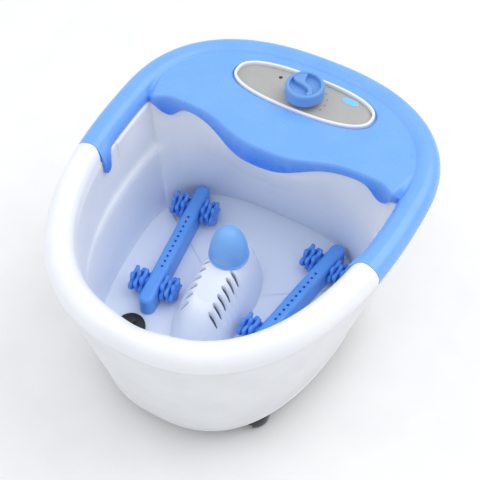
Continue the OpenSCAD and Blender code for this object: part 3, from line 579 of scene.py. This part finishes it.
def armLine(t, inner):
    tt = np.where(t > 90, 180 - t, t)
    u = np.clip((tt - seamT - 0.1) / (tongueT - seamT - 0.1), 0, 1)
    k = np.sqrt(np.maximum(0, 1 - ((u - 0.3) / 0.7) ** 2))  # a round tip, low just past the arm's end
    k = np.where(u > 0.3, k, 1 - 0.3 * ((0.3 - u) / 0.3) ** 2)
    out = []
    for i in range(6):
        q = (tongueIn if inner else tongueOut)[i]
        z = q[1] if q[1] > -4 else -4 + (q[1] + 4) * k
        tongue = lift(rimOff(seamWarp(t, armF[i]), q[0]), rim["z"] + z)
        tube = tubePoint(t, rim["r"] - (wall if inner else 0), armF[i])
        s = ramp(tt, tongueT - 2.6, tongueT + 0.4)[:, None]
        out.append(mix(tongue, tube, s))
    return out


def makeCover():
    left = np.concatenate([stations(seamT + 0.1, tongueT - 3, 8)[:-1],
                           stations(tongueT - 3, tongueT + 0.4, 16)[:-1],
                           stations(tongueT + 0.4, 0, 14)[:-1], stations(0, cornerT - 0.02, 5)])
    deck = stations(cornerT, 180 - cornerT, 420)
    t = np.concatenate([left, deck, (180 - left)[::-1]])
    tail = inToe(t)
    tubeF = [218, 212] + list(range(204, 60, -6)) + [56, 50]

    def line(inner):
        d, a = np.array(deckLine(t, inner)), np.array(armLine(t, inner))
        side = np.stack([np.where(t < 90, 1, -1), 1 + 0 * t, 1 + 0 * t], -1)
        corner = np.array(armLine(np.array([cornerT]), inner)) * side
        near = ramp(np.abs(fasciaW * along(t)), fasciaW - 4, fasciaW)[None, :, None]
        d[3:] = mix(d[3:], corner[3:], near)
        d[1], d[2] = mix(d[0], d[3], 0.34), mix(d[0], d[3], 0.67)
        return np.where(tail[None, :, None], d, a)

    outer = [tubePoint(t, rim["r"], f) for f in tubeF]
    rest = line(False)
    corner = np.concatenate([[outer[-1]], rest])
    soft = rounded(corner, [0, 3.2, 0, 0, 3.6, 3.2, 0], 6)[1:]
    outer += list(soft[:-1])
    # the lower edge is rounded over the wall's thickness
    innerLine = line(True)
    endOut, endIn = rest[-1], innerLine[-1]
    edge = np.array([mix(endOut, rest[-2], 0.05), endOut, endIn, mix(endIn, innerLine[-2], 0.05)])
    outer += list(rounded(edge, [0, 1.1, 1.1, 0], 5))
    inner = list(innerLine[::-1][1:]) + [tubePoint(t, rim["r"] - wall, f) for f in tubeF[::-1][1:]]
    sections = np.array(outer + inner).transpose(1, 0, 2)
    obj = meshObject("topCover", *loft(sections), mat["cover"], 40)

    def pocketRing(z, offset):
        return ovalRing(panel["halfL"] + pocket["longer"], panel["halfW"], z, offset)

    gap, out = pocket["gap"], pocket["out"]
    flare = [(-6, gap), (-2.4, gap), (-1.3, 0.75), (-0.6, 1.25), (-0.15, 2.1), (0, 2.9), (6, 2.9)]
    cutWith(obj, meshObject("cutter", *loft([pocketRing(deckZ + z, o) for z, o in flare])))
    lowZ, highZ = panel["z"] - pocket["deep"], deckZ - pocket["under"]
    cup = [pocketRing(z, o) for z, o in ((lowZ, out), (highZ, out), (highZ, gap), (panel["z"], gap))]
    cup = [ovalRing(6, 4, lowZ), *cup, ovalRing(6, 4, panel["z"])]  # small middle ovals close both faces
    return obj, meshObject("panelWell", *loft(cup), material=mat["cover"])


cover, well = makeCover()
handOver(cover, "tub", "cover_blue", "top_cover")
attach(well, "tub")
print("cover made")


def makePanel():
    z0, wide, top = panel["z"], panel["bezel"], panel["z"] + panel["faceT"]
    sec = [(0, z0), (0, z0 + panel["bezelH"]), (-wide, z0 + panel["bezelH"]), (-wide, z0)]
    line = rounded(np.array([[[o, 0, z]] for o, z in sec]), [0, 1.6, 1.6, 0], 9)[:, 0]
    rings = [ovalRing(panel["halfL"], panel["halfW"], z, o) for o, _, z in line]
    bezel = meshObject("panelBezel", *loft(rings, closeRows=True), material=mat["bezel"])
    handOver(bezel, "tub", "bezel_white", "panel_bezel")
    inset = -wide - 0.3
    rings = [ovalRing(panel["halfL"], panel["halfW"], z, o)
             for z, o in ((z0, inset), (top - 0.2, inset), (top, inset - 0.3))]
    plate = meshObject("panelFaceplate", *loft(rings), material=mat["face"], smoothAngle=25)
    holes = joined([revolve([(0, z0 - 2), (r, z0 - 2), (r, z0 + 5), (0, z0 + 5)], 48, (x, y, 0))
                    for x, y, r in ((knob["x"], knob["y"], 4), (indicator["x"], indicator["y"], 2.2))])
    cutWith(plate, meshObject("cutter", *holes))
    handOver(plate, "tub", "faceplate_grey", "panel_faceplate")
    # plain printed marks: four position dots beside the knob, and a bare oval badge
    marks = []
    reach, r = 24.5, 0.8
    for angle in (42, 20, 0, -20):
        x = knob["x"] + reach * math.cos(math.radians(angle))
        y = knob["y"] + 1 + reach * math.sin(math.radians(angle))
        marks.append(revolve([(0, top - 0.3), (r, top - 0.3), (r, top + 0.05), (0, top + 0.05)], 32, (x, y, 0)))
    ink = meshObject("dialMarks", *joined(marks), material=mat["mark"])
    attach(ink, "tub")
    oval = dict(x=49.0, y=164.0, halfL=10.0, halfW=4.7)
    rings = [ovalRing(oval["halfL"], oval["halfW"], top + z, o, oval["y"])
             for z, o in ((-0.3, 0), (0.25, 0), (0.4, -0.35))]
    badge = meshObject("badge", *loft(rings), material=mat["badge"])
    for v in badge.data.vertices:
        v.co.x += oval["x"] * mm
    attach(badge, "tub")


def makeKnob():
    r, h = knob["r"], knob["h"]
    profile = [(0, 0), (r - 4, 0), (r - 4, 2.6), (r - 0.8, 2.8), (r, 3.8), (r - 0.7, h - 2), (r - 2.2, h),
               (r - 5, h), (r - 5.6, h - 6), (0, h - 6.2)]
    cuts = [0, 0.3, 0.3, 0.5, 0.7, 2.0, 1.2, 0.9, 1.6, 0]
    skirt = revolve(profile, 192, (knob["x"], knob["y"], knob["z"]), cuts, 7)
    half = r - 5.1
    v = np.linspace(-1, 1, 81)
    run = 3.2 * np.sin(math.pi * v)
    flare = 5.2 * ramp(-v, 0.0, 1.0) + 1.4 * ramp(v, 0.6, 1.0) - 1.0 * ramp(v, -0.2, 0.5)

    def barRing(z, inset):
        w = np.maximum(3.4 - inset, 0.2) + flare
        reach = (half - inset) / half
        lim = np.sqrt(np.maximum(0, (half - inset) ** 2 - (v * half * reach) ** 2))
        up = np.minimum(run + w, lim)
        down = np.maximum(run - w, -lim)
        x = v * half * reach
        p = np.concatenate([np.stack([x, up], -1), np.stack([x, down], -1)[::-1]])
        c, s = math.cos(math.radians(knob["barTurn"])), math.sin(math.radians(knob["barTurn"]))
        q = np.stack([p[:, 0] * c - p[:, 1] * s, p[:, 0] * s + p[:, 1] * c], -1)
        return lift(q + [knob["x"], knob["y"]], knob["z"] + z)

    rows = [(h - 6.8, 0), (h - 1.5, 0), (h - 0.8, 0.15), (h - 0.3, 0.5), (h - 0.02, 1.2)]
    bar = loft([barRing(z, o) for z, o in rows])
    obj = meshObject("controlKnob", *joined([skirt, bar]), material=mat["knob"], smoothAngle=35)
    handOver(obj, "knob", "knob_blue", "control_knob")
    r = indicator["r"]
    lens = revolve([(0, -3), (r, -3), (r, 2.4), (r - 0.6, 2.8), (0, 2.9)], 40,
                   (indicator["x"], indicator["y"], panel["z"]))
    lens = meshObject("indicatorLens", *lens, material=mat["smoke"])
    handOver(lens, "tub", "indicator_smoke", "indicator_lens")


makePanel()
makeKnob()
print("panel and knob made")

hump = dict(h=65.0, front=-74.0, back=4.0, wall=2.2, baseW=38.0, baseL=74.0, y=-42.0, ridge=12.0, slots=6,
            pitch=9.2, first=-35.0)
lamp = dict(x=0, y=-16.0, z=130.6, r=21.0, h=40.0, collarZ=128.0, wall=2.0)


def ridgeHeight(y):
    return hump["h"] - (hump["h"] - 47) * (np.maximum(0, (-34 - y) / 45)) ** 1.4


def humpPoint(a, s, k):
    b = outline(a, hump["baseW"] - k, hump["baseL"] - k, hump["y"], 2.2)
    ridgeY = mix(hump["front"], hump["back"], (1 + spow(np.sin(a), 0.7)) / 2)
    r = np.stack([(hump["ridge"] - k) * spow(np.cos(a), 0.6), ridgeY], -1)
    p = mix(b, r, s)
    z = floorZ + 0.3 + (ridgeHeight(r[..., 1]) - 0.3 - k) * math.sin(math.pi / 2 * s) ** 0.85
    return lift(p, z)


def slotLean(x):  # how far to the heel a groove has run at x from the middle
    return 0.12 * np.maximum(x - 13, 0) + 0.016 * np.maximum(x - 18, 0) ** 2


def makeHump():
    n = 560
    a = np.linspace(0, 2 * math.pi, n, endpoint=False)
    levels = np.linspace(0, 1, 72)
    grid = np.array([humpPoint(a, s, 0) for s in levels])
    around = np.roll(grid, -1, 1) - np.roll(grid, 1, 1)
    upward = np.gradient(grid, axis=0)
    outward = unitRows(np.cross(around, upward))
    outward *= np.sign((outward[..., :2] * (grid[..., :2] - [0, hump["y"]])).sum(-1))[..., None]
    x, y = np.abs(grid[..., 0]), grid[..., 1]
    flow = y + slotLean(x)
    last = hump["first"] - (hump["slots"] - 1) * hump["pitch"]
    inside = ramp(flow, last - 4.6, last - 2.4) * (1 - ramp(flow, hump["first"] + 2.4, hump["first"] + 4.6))
    groove = (0.5 + 0.5 * np.cos(2 * math.pi * (flow - hump["first"]) / hump["pitch"])) ** 1.3
    fade = ramp(levels, 0.12, 0.45)[:, None] * ramp(x, 12, 19)
    rows = list(grid - outward * (3.0 * groove * inside * fade)[..., None])
    ridge = humpPoint(a, 1.0, 0)
    for u in (0.2, 0.45, 0.75, 0.97):
        q = ridge * [1 - u, 1, 1]
        q[:, 1] = mix(ridge[:, 1], -35 + (ridge[:, 1] + 35) * 0.94, u)
        q[:, 2] = floorZ + ridgeHeight(q[:, 1])
        rows.append(q)
    inner = []
    for s in np.linspace(1, 0, 12):
        inner.append(humpPoint(a, s, hump["wall"] + (2.3 if s > 0.1 else 0) * math.sin(math.pi * s) ** 0.5))
    top = len(rows)
    rings = rows + inner
    verts = np.array(rings).reshape(-1, 3)
    faces = gridFaces(len(rings), n, True, skip=top - 1)
    for b, flip in ((top - 1, False), (top, True)):
        # close across from left to right
        for k in range(-n // 4, n // 4):
            p0, p1 = b * n + k % n, b * n + (k + 1) % n
            q0, q1 = b * n + (n // 2 - k) % n, b * n + (n // 2 - k - 1) % n
            face = [p0, p1, q1, q0]
            unique = [v for i, v in enumerate(face) if v not in face[:i]]
            if len(unique) > 2:
                faces.append(tuple(unique[::-1] if flip else unique))
    obj = meshObject("humpGrille", verts, faces, mat["basin"], 50)
    slots = []
    for i in range(hump["slots"]):
        for side in (-1, 1):
            y = hump["first"] - hump["pitch"] * i
            a2 = np.arange(28) * math.pi / 14
            reach = 0.5 - 0.5 * np.cos(a2)  # 0 at the inner end, 1 at the outer
            x = 12.0 + 11.5 * reach
            yy = np.sin(a2) * (2.5 - 1.3 * reach) - slotLean(x)
            slots.append(loft([np.stack([side * x, y + yy, np.full(28, z)], -1) for z in (floorZ + 20, 140.0)]))
    slots.append(revolve([(0, 118), (15, 118), (15, 140), (0, 140)], 64, (0, lamp["y"], 0)))
    cutWith(obj, meshObject("cutter", *joined(slots)))
    handOver(obj, "tub", "basin_white", "hump_grille")


def makeDome():
    r, h, inR = lamp["r"], lamp["h"], lamp["r"] - lamp["wall"]
    v = np.radians(np.linspace(0, 90, 40))
    egg = [(r * max(math.cos(a), 0) ** 1.02, 2.6 + (h - 2.6) * math.sin(a) ** 1.08) for a in v]
    skin = [(inR, 0), (r - 0.3, 0), (r, 0.3), (r, 1.7), (r - 0.25, 2.2)] + egg[1:-1]
    skin += [(0, h), (0, h - lamp["wall"])]
    skin += [(inR * max(math.cos(a), 0) ** 1.02, (h - lamp["wall"]) * math.sin(a) ** 1.08)
             for a in v[::-1][1:-1]]
    obj = meshObject("lampDome", *revolve(skin, 160, (lamp["x"], lamp["y"], lamp["z"])), material=mat["dome"])
    handOver(obj, "tub", "dome_blue", "lamp_dome")
    collar = [(12.5, -4), (14.7, -4), (14.7, 0), (r + 1.2, 0), (r + 1.2, 2.6), (r - 1, 2.6), (12.5, 2.6)]
    collar = revolve(collar, 160, (lamp["x"], lamp["y"], lamp["collarZ"]), [0, 0, 0, 0.5, 0.9, 0, 0], 5)
    ringObj = meshObject("domeCollar", *collar, material=mat["dome"])
    handOver(ringObj, "tub", "dome_blue", "dome_collar")


makeHump()
makeDome()
print("hump and dome made")


def repeater():  # copies of one object along a line, each turned a little more than the last
    group = bpy.data.node_groups.new("repeatAlongLine", "GeometryNodeTree")
    for name, kind, value in (("Part", "Object", None), ("Count", "Int", 3), ("Start", "Vector", (0, 0, 0)),
                              ("Step", "Vector", (0, 0, 0)), ("Turn", "Vector", (0, 0, 0)),
                              ("TurnStep", "Vector", (0, 0, 0)), ("Material", "Material", None)):
        socket = group.interface.new_socket(name, in_out="INPUT", socket_type="NodeSocket" + kind)
        if value is not None:
            socket.default_value = value
    group.interface.new_socket("Geometry", in_out="OUTPUT", socket_type="NodeSocketGeometry")
    given = addNode(group, "NodeGroupInput").outputs
    line = addNode(group, "GeometryNodeMeshLine",
                   links={"Count": given["Count"], "Start Location": given["Start"], "Offset": given["Step"]})
    index = addNode(group, "GeometryNodeInputIndex")
    grow = addNode(group, "ShaderNodeVectorMath", {"operation": "SCALE"},
                   links={0: given["TurnStep"], "Scale": index.outputs["Index"]})
    angle = addNode(group, "ShaderNodeVectorMath", {"operation": "ADD"},
                    links={0: given["Turn"], 1: grow.outputs["Vector"]})
    part = addNode(group, "GeometryNodeObjectInfo", links={"Object": given["Part"]})
    copies = addNode(group, "GeometryNodeInstanceOnPoints",
                     links={"Points": line.outputs["Mesh"], "Instance": part.outputs["Geometry"]})
    turned = addNode(group, "GeometryNodeRotateInstances",
                     links={"Instances": copies.outputs["Instances"], "Rotation": angle.outputs["Vector"]})
    real = addNode(group, "GeometryNodeRealizeInstances", links={"Geometry": turned.outputs["Instances"]})
    painted = addNode(group, "GeometryNodeSetMaterial",
                      links={"Geometry": real.outputs["Geometry"], "Material": given["Material"]})
    addNode(group, "NodeGroupOutput", links={"Geometry": painted.outputs["Geometry"]})
    return group


repeatGroup = repeater()


def repeat(name, part, material, count, start, step, turnBy=(0, 0, 0), turnStep=(0, 0, 0)):  # a plain mesh
    holder = bpy.data.objects.new(name, bpy.data.meshes.new(name))
    collection.objects.link(holder)
    mod = holder.modifiers.new("repeat", "NODES")
    mod.node_group = repeatGroup
    ids = {item.name: item.identifier for item in repeatGroup.interface.items_tree if item.in_out == "INPUT"}
    wanted = dict(Part=part, Count=count, Start=[v * mm for v in start], Step=[v * mm for v in step],
                  Turn=[math.radians(v) for v in turnBy], TurnStep=[math.radians(v) for v in turnStep],
                  Material=material)
    for key, value in wanted.items():
        mod[ids[key]] = value
    bpy.context.view_layer.update()
    data = bpy.data.meshes.new_from_object(holder.evaluated_get(bpy.context.evaluated_depsgraph_get()))
    bpy.data.objects.remove(holder)
    tidyMesh(data)
    return data


def meshPart(data):
    v = np.zeros(len(data.vertices) * 3)
    data.vertices.foreach_get("co", v)
    return v.reshape(-1, 3) / mm, [tuple(p.vertices) for p in data.polygons]


def removePart(obj):
    bpy.data.objects.remove(obj)

strip = dict(l=178.0, w=18.0, h=25.0, x=77.0, y=-4.0, splay=8.2, rollerAt=58.0, axleZ=79.5, axleR=3.5)
rollerSize = dict(r=15.0, halfL=27.0, disc=4.6, lobes=5, first=10.4, pitch=5.9)
clipSize = dict(halfY=5.6, halfZ=6.2, at=(8.7, 9.4, 9.75))  # loops that hold the axles


def stripFrame(s):
    return Matrix.Translation(Vector((s * strip["x"], strip["y"], 0))) @ turn("Z", -s * strip["splay"])


def capsuleRing(z, inset, sides=96):
    half, r = strip["l"] / 2 - strip["w"] / 2, strip["w"] / 2 - inset
    a = (np.arange(sides) + 0.5) * 2 * math.pi / sides
    x = r * np.cos(a)
    y = r * np.sin(a) + np.where(np.sin(a) > 0, half, -half)
    return np.stack([x, y, np.full(sides, float(z))], -1)


def makeStrip(s, name, node):
    z0, top = floorZ + 0.3, floorZ + 0.3 + strip["h"]
    rows = [(z0, 0), (z0 + 8, 0), (top - 4.6, 0.2)]
    for a in np.radians([15, 30, 45, 60, 75, 90]):
        rows.append((top - 4.6 + 4.6 * math.sin(a), 0.2 + 4.8 * (1 - math.cos(a))))
    rows += [(top, 6.5), (top, 8.6)]
    solid = place(loft([capsuleRing(z, o) for z, o in rows]), stripFrame(s))
    obj = meshObject(name, *solid, material=mat["strip"], smoothAngle=50)
    cuts = []
    for e in (-1, 1):
        a = np.radians(np.linspace(0, 180, 17))
        r = strip["axleR"] + 0.06
        loop = [(r * math.cos(v), strip["axleZ"] + r * math.sin(v)) for v in a] + [(-r, z0 - 5), (r, z0 - 5)]
        ringAt = [np.array([[x, e * strip["rollerAt"] + y, z] for y, z in loop]) for x in (-12.0, 12.0)]
        cuts.append(place(loft(ringAt), stripFrame(s)))
    nozzle = meshObject("nozzle", *revolve([(0, -9), (1.4, -9), (1.4, 0), (2.0, 0.55), (2.0, 3), (0, 3)], 28))
    holes = repeat("holes", nozzle, None, 11, (0, -37.5, top - 0.5), (0, 7.5, 0))
    removePart(nozzle)
    cuts.append(place(meshPart(holes), stripFrame(s)))
    cutWith(obj, meshObject("cutter", *joined(cuts)))
    handOver(obj, "tub", "strip_blue", node)
    around = np.radians(np.linspace(0, 360, 33)[:-1])
    clipY, clipZ = clipSize["halfY"] * np.cos(around), clipSize["halfZ"] * np.sin(around)
    for e, tag in ((-1, "front"), (1, "rear")):
        for side in (-1, 1):
            clip = loft([np.stack([np.full(32, side * x), clipY, clipZ], -1) for x in clipSize["at"]])
            where = stripFrame(s) @ Matrix.Translation(Vector((0, e * strip["rollerAt"], strip["axleZ"])))
            label = f"{name}Clip_{tag}_{'a' if side < 0 else 'b'}"
            loop = meshObject(label, *place(clip, where), material=mat["strip"])
            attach(loop, "tub")


def makeRollers():
    q = rollerSize
    sides = 168
    a = np.arange(sides) * 2 * math.pi / sides

    def discRing(z, inset):
        r = q["r"] - 2.2 + 2.2 * np.cos(q["lobes"] * a) - inset
        weave = 0.55 * np.sin(q["lobes"] * a) * np.clip((r - 4) / 8, 0, 1)
        return np.stack([r * np.cos(a), r * np.sin(a), z + weave], -1)

    t = q["disc"] / 2
    edge = 1.7
    rows = [(-t, 9.0), (-t, edge + 1.4), (-t, edge)]
    rows += [(-t + edge * (1 - math.cos(v)), edge * (1 - math.sin(v))) for v in np.radians([20, 45, 70, 90])]
    rows += [(-z, o) for z, o in rows[::-1]]
    discObj = meshObject("lobedDisc", *loft([discRing(z, o) for z, o in rows]))
    for s, side in ((-1, "left"), (1, "right")):
        for e, end in ((-1, "front"), (1, "rear")):
            axle = Matrix.Translation((0, e * strip["rollerAt"], strip["axleZ"])) @ turn("Y", 90)
            where = stripFrame(s) @ axle
            parts = []
            for way in (-1, 1):
                start = (0, 0, way * (q["first"] + q["disc"] / 2))
                data = repeat("discs", discObj, mat["roller"], 3, start, (0, 0, way * q["pitch"]),
                              turnStep=(0, 0, 150 / q["lobes"]))
                parts.append(meshPart(data))
                pad = revolve([(0, -0.8), (9.2, -0.8), (9.2, 0.1), (8, 0.7), (0, 0.8)], 64,
                              cuts=[0, 0.2, 0.5, 1.2, 0])
                pad = place(pad, Matrix.Diagonal((0.68, 1, 1, 1)))  # oval end pad
                padAt = Matrix.Translation((0, 0, way * (q["halfL"] - 0.1)))
                parts.append(place(pad, padAt @ turn("X", 180 if way < 0 else 0)))
            r, reach = strip["axleR"], q["halfL"] - 0.6
            parts.append(revolve([(0, -reach), (r, -reach), (r, reach), (0, reach)], 40))
            hub = revolve([(0, 10.2), (6.2, 10.2), (6.2, 26), (0, 26)], 48)
            parts += [hub, place(hub, turn("X", 180))]
            node = f"roller_{end}_{side}"
            solid = place(joined(parts), where)
            obj = meshObject(f"roller{end.title()}{side.title()}", *solid, material=mat["roller"])
            handOver(obj, node, "roller_blue", node)
    removePart(discObj)


makeStrip(-1, "leftStrip", "left_strip")
makeStrip(1, "rightStrip", "right_strip")
makeRollers()
print("strips and rollers made")


def makeDrain():
    x, y = drain["x"], drain["y"]
    plug = [(0, -8), (5.1, -8), (5.7, 0), (15.5, 0), (16, 1.5), (14.5, 4), (5.4, 5.4), (4.6, 8.6), (6.6, 11),
            (6.2, 14), (0, 15)]
    plug = revolve(plug, 96, (x, y, floorZ + 3.6), [0, 0.5, 0.3, 0.6, 0.9, 2, 1.6, 1.6, 1.2, 1.4, 0])
    obj = meshObject("drainPlug", *plug, material=mat["rubber"])
    handOver(obj, "plug", "rubber_black", "drain_plug")
    flange = [(6, -12), (8, -12), (8, 0), (16, 0), (16, 2.4), (6, 2.4)]
    flange = revolve(flange, 96, (x, y, floorZ + 1.2), [0, 0, 0, 0.2, 0.8, 0.4])
    ringObj = meshObject("drainFlange", *flange, material=mat["dark"])
    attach(ringObj, "tub")


def makeGland():
    sleeve = [(4, -12), (8, -12), (8, 0.3), (11, 0.3), (11, 2.2), (10, 3.3), (8, 3.3), (7.4, 4), (4, 4)]
    parts = [revolve(sleeve, 72, cuts=[0, 0.4, 0, 0.3, 0.8, 0.8, 0.2, 0.5, 0])]
    parts.append(revolve([(8, -7.8), (11, -7.8), (11, -2.8), (8, -2.8)], 6))
    obj = meshObject("cordGland", *place(joined(parts), glandFrame), material=mat["rubber"])
    handOver(obj, "tub", "rubber_black", "cord_gland")


casterAt = {"fl": (-85.0, -113.0), "fr": (85.0, -113.0), "rl": (-88.0, 62.0), "rr": (88.0, 62.0)}


def makeCasters():
    caster = dict(hoodR=18.0, top=25.4, stemR=3.5, stemL=17.0, wheelR=11.0, trail=3.5, wheelW=14.0, pinR=1.56)
    top, hoodR, stemR = caster["top"], caster["hoodR"], caster["stemR"]
    stemTop, wheelR, w = top + caster["stemL"], caster["wheelR"], caster["wheelW"] / 2
    half = w + 0.5  # room beside the wheel
    for tag, (x, y) in casterAt.items():
        axle = Matrix.Translation((x, y - caster["trail"], wheelR)) @ turn("Y", 90)
        prof = [(0, top), (7, top), (12.5, top - 1.3), (16.4, top - 6), (hoodR, top - 13), (hoodR, 5), (0, 5)]
        stem = revolve([(0, top - 1), (stemR, top - 1), (stemR, stemTop - 0.6), (stemR - 0.6, stemTop),
                        (0, stemTop)], 48, (x, y, 0))
        hood = revolve(prof, 144, (x, y, 0), [0, 1, 4, 6, 6, 1.4, 0], 8)
        hood = meshObject(f"casterHood_{tag}", *hood, material=mat["caster"])
        corners = ((-half, -40), (half, -40), (half, 40), (-half, 40))
        boxV = np.array([[sx, sy, z] for z in (-1, wheelR) for sx, sy in corners], float) + [x, y, 0]
        slotBox = (boxV, [(0, 3, 2, 1), (4, 5, 6, 7), (0, 1, 5, 4), (1, 2, 6, 5), (2, 3, 7, 6), (3, 0, 4, 7)])
        cutWith(hood, meshObject("cutter", *slotBox))
        room = revolve([(0, -half), (wheelR + 0.8, -half), (wheelR + 0.8, half), (0, half)], 96)
        cutWith(hood, meshObject("cutter", *place(room, axle)))
        v, f = joined([meshPart(hood.data), stem])
        whole = meshObject(f"casterHoodStem_{tag}", v, f, mat["caster"])
        removePart(hood)
        handOver(whole, f"caster_{tag}", "caster_black", f"caster_hood_{tag}")
        tread = [(caster["pinR"], -w), (7.4, -w), (8.2, -w + 1.2), (9.4, -w), (wheelR, -w)]
        tread += [(r, -z) for r, z in tread[::-1]]
        wheel = place(revolve(tread, 96, cuts=[0, 0.3, 0.5, 0.3, 1.6, 1.6, 0.3, 0.5, 0.3, 0]), axle)
        wheel = meshObject(f"casterWheel_{tag}", *wheel, material=mat["wheel"])
        handOver(wheel, f"wheel_{tag}", "wheel_black", f"caster_wheel_{tag}")


makeDrain()
makeGland()
makeCasters()
print("drain, gland and casters made")

plain = {  # the hidden pieces keep the shape that they have in CAD
    "base_plate": "base", "switch_shaft": "steel", "rotary_switch": "dark", "control_board": "board",
    "lamp_pedestal": "basin", "lamp_board": "board", "infrared_emitters": "emitter",
    "drain_fitting": "dark", "drain_gasket": "rubber", "drain_nut": "dark", "blower_volute": "dark",
    "blower_lid": "dark", "blower_impeller": "bezel", "blower_shaft": "steel", "blower_motor": "steel",
    "air_hose": "hose", "air_channels": "channel", "heater_plate": "aluminium", "thermostat": "rubber",
    "terminal_block": "bezel", "cover_screws": "steel", "base_screws": "steel", "blower_screws": "steel",
    **{f"caster_pin_{tag}": "steel" for tag in casterAt},
}
for node, key in plain.items():
    data = nodeOf[node].data
    data.materials.clear()
    data.materials.append(mat[key])
for name, obj in nodeOf.items():
    if not obj.hide_render and name not in plain:
        print("left as it came:", name)


def makeStage():
    material, tree, shader, coords = newMaterial("matteStudioPaper")
    tree.links.new(mottled(tree, coords, 60, linear("#f4f4f3"), linear("#f7f7f6")), shader.inputs["Base Color"])
    tree.links.new(mottled(tree, coords, 20, grey(0.85), grey(0.95)), shader.inputs["Roughness"])
    bumps(tree, coords, shader, [(3, 0.01, 2.0)])
    half = 9
    data = bpy.data.meshes.new("studioFloor")
    corners = [(-half, -half, 0), (half, -half, 0), (half, half, 0), (-half, half, 0)]
    data.from_pydata(corners, [], [(0, 1, 2, 3)])
    data.materials.append(material)
    obj = bpy.data.objects.new("studioFloor", data)
    collection.objects.link(obj)

    def area(name, at, target, size, watts, colour=(1, 1, 1)):
        light = bpy.data.lights.new(name, "AREA")
        light.shape = "DISK"
        light.size = size
        light.energy = watts
        light.color = colour
        lamp = bpy.data.objects.new(name, light)
        collection.objects.link(lamp)
        lamp.location = at
        lamp.rotation_euler = (Vector(target) - Vector(at)).to_track_quat("-Z", "Y").to_euler()

    area("keySoftbox", (1.0, 1.0, 2.0), (0, 0, 0.1), 2.2, 20, (1.0, 0.985, 0.965))
    area("fillSoftbox", (-1.6, -0.6, 1.6), (0, 0, 0.1), 2.4, 7.5, (0.97, 0.985, 1.0))
    area("overheadSoftbox", (0.1, -0.5, 2.4), (0, 0, 0.1), 2.2, 8)
    world = bpy.data.worlds.new("studio")
    world.use_nodes = True
    bpy.context.scene.world = world
    tree = world.node_tree
    back = tree.nodes["Background"]
    back.inputs["Color"].default_value = (0.93, 0.955, 1.0, 1)
    back.inputs["Strength"].default_value = 0.76

    cam = bpy.data.cameras.new("camera")
    cam.sensor_width = 36
    cam.lens = 76.65
    cam.clip_end = 50
    rig = bpy.data.objects.new("camera", cam)
    collection.objects.link(rig)
    a, e = math.radians(29.3), math.radians(52.6)
    right = Vector((math.cos(a), math.sin(a), 0))
    back = Vector((math.sin(a) * math.cos(e), -math.cos(a) * math.cos(e), math.sin(e)))
    up = back.cross(right)
    turnTo = Matrix((right, up, back)).transposed()
    rig.matrix_world = Matrix.Translation((0.3310, -0.5814, 1.0093)) @ turnTo.to_4x4()
    bpy.context.scene.camera = rig
    bpy.context.scene.view_settings.view_transform = "Standard"


makeStage()
bpy.context.view_layer.update()
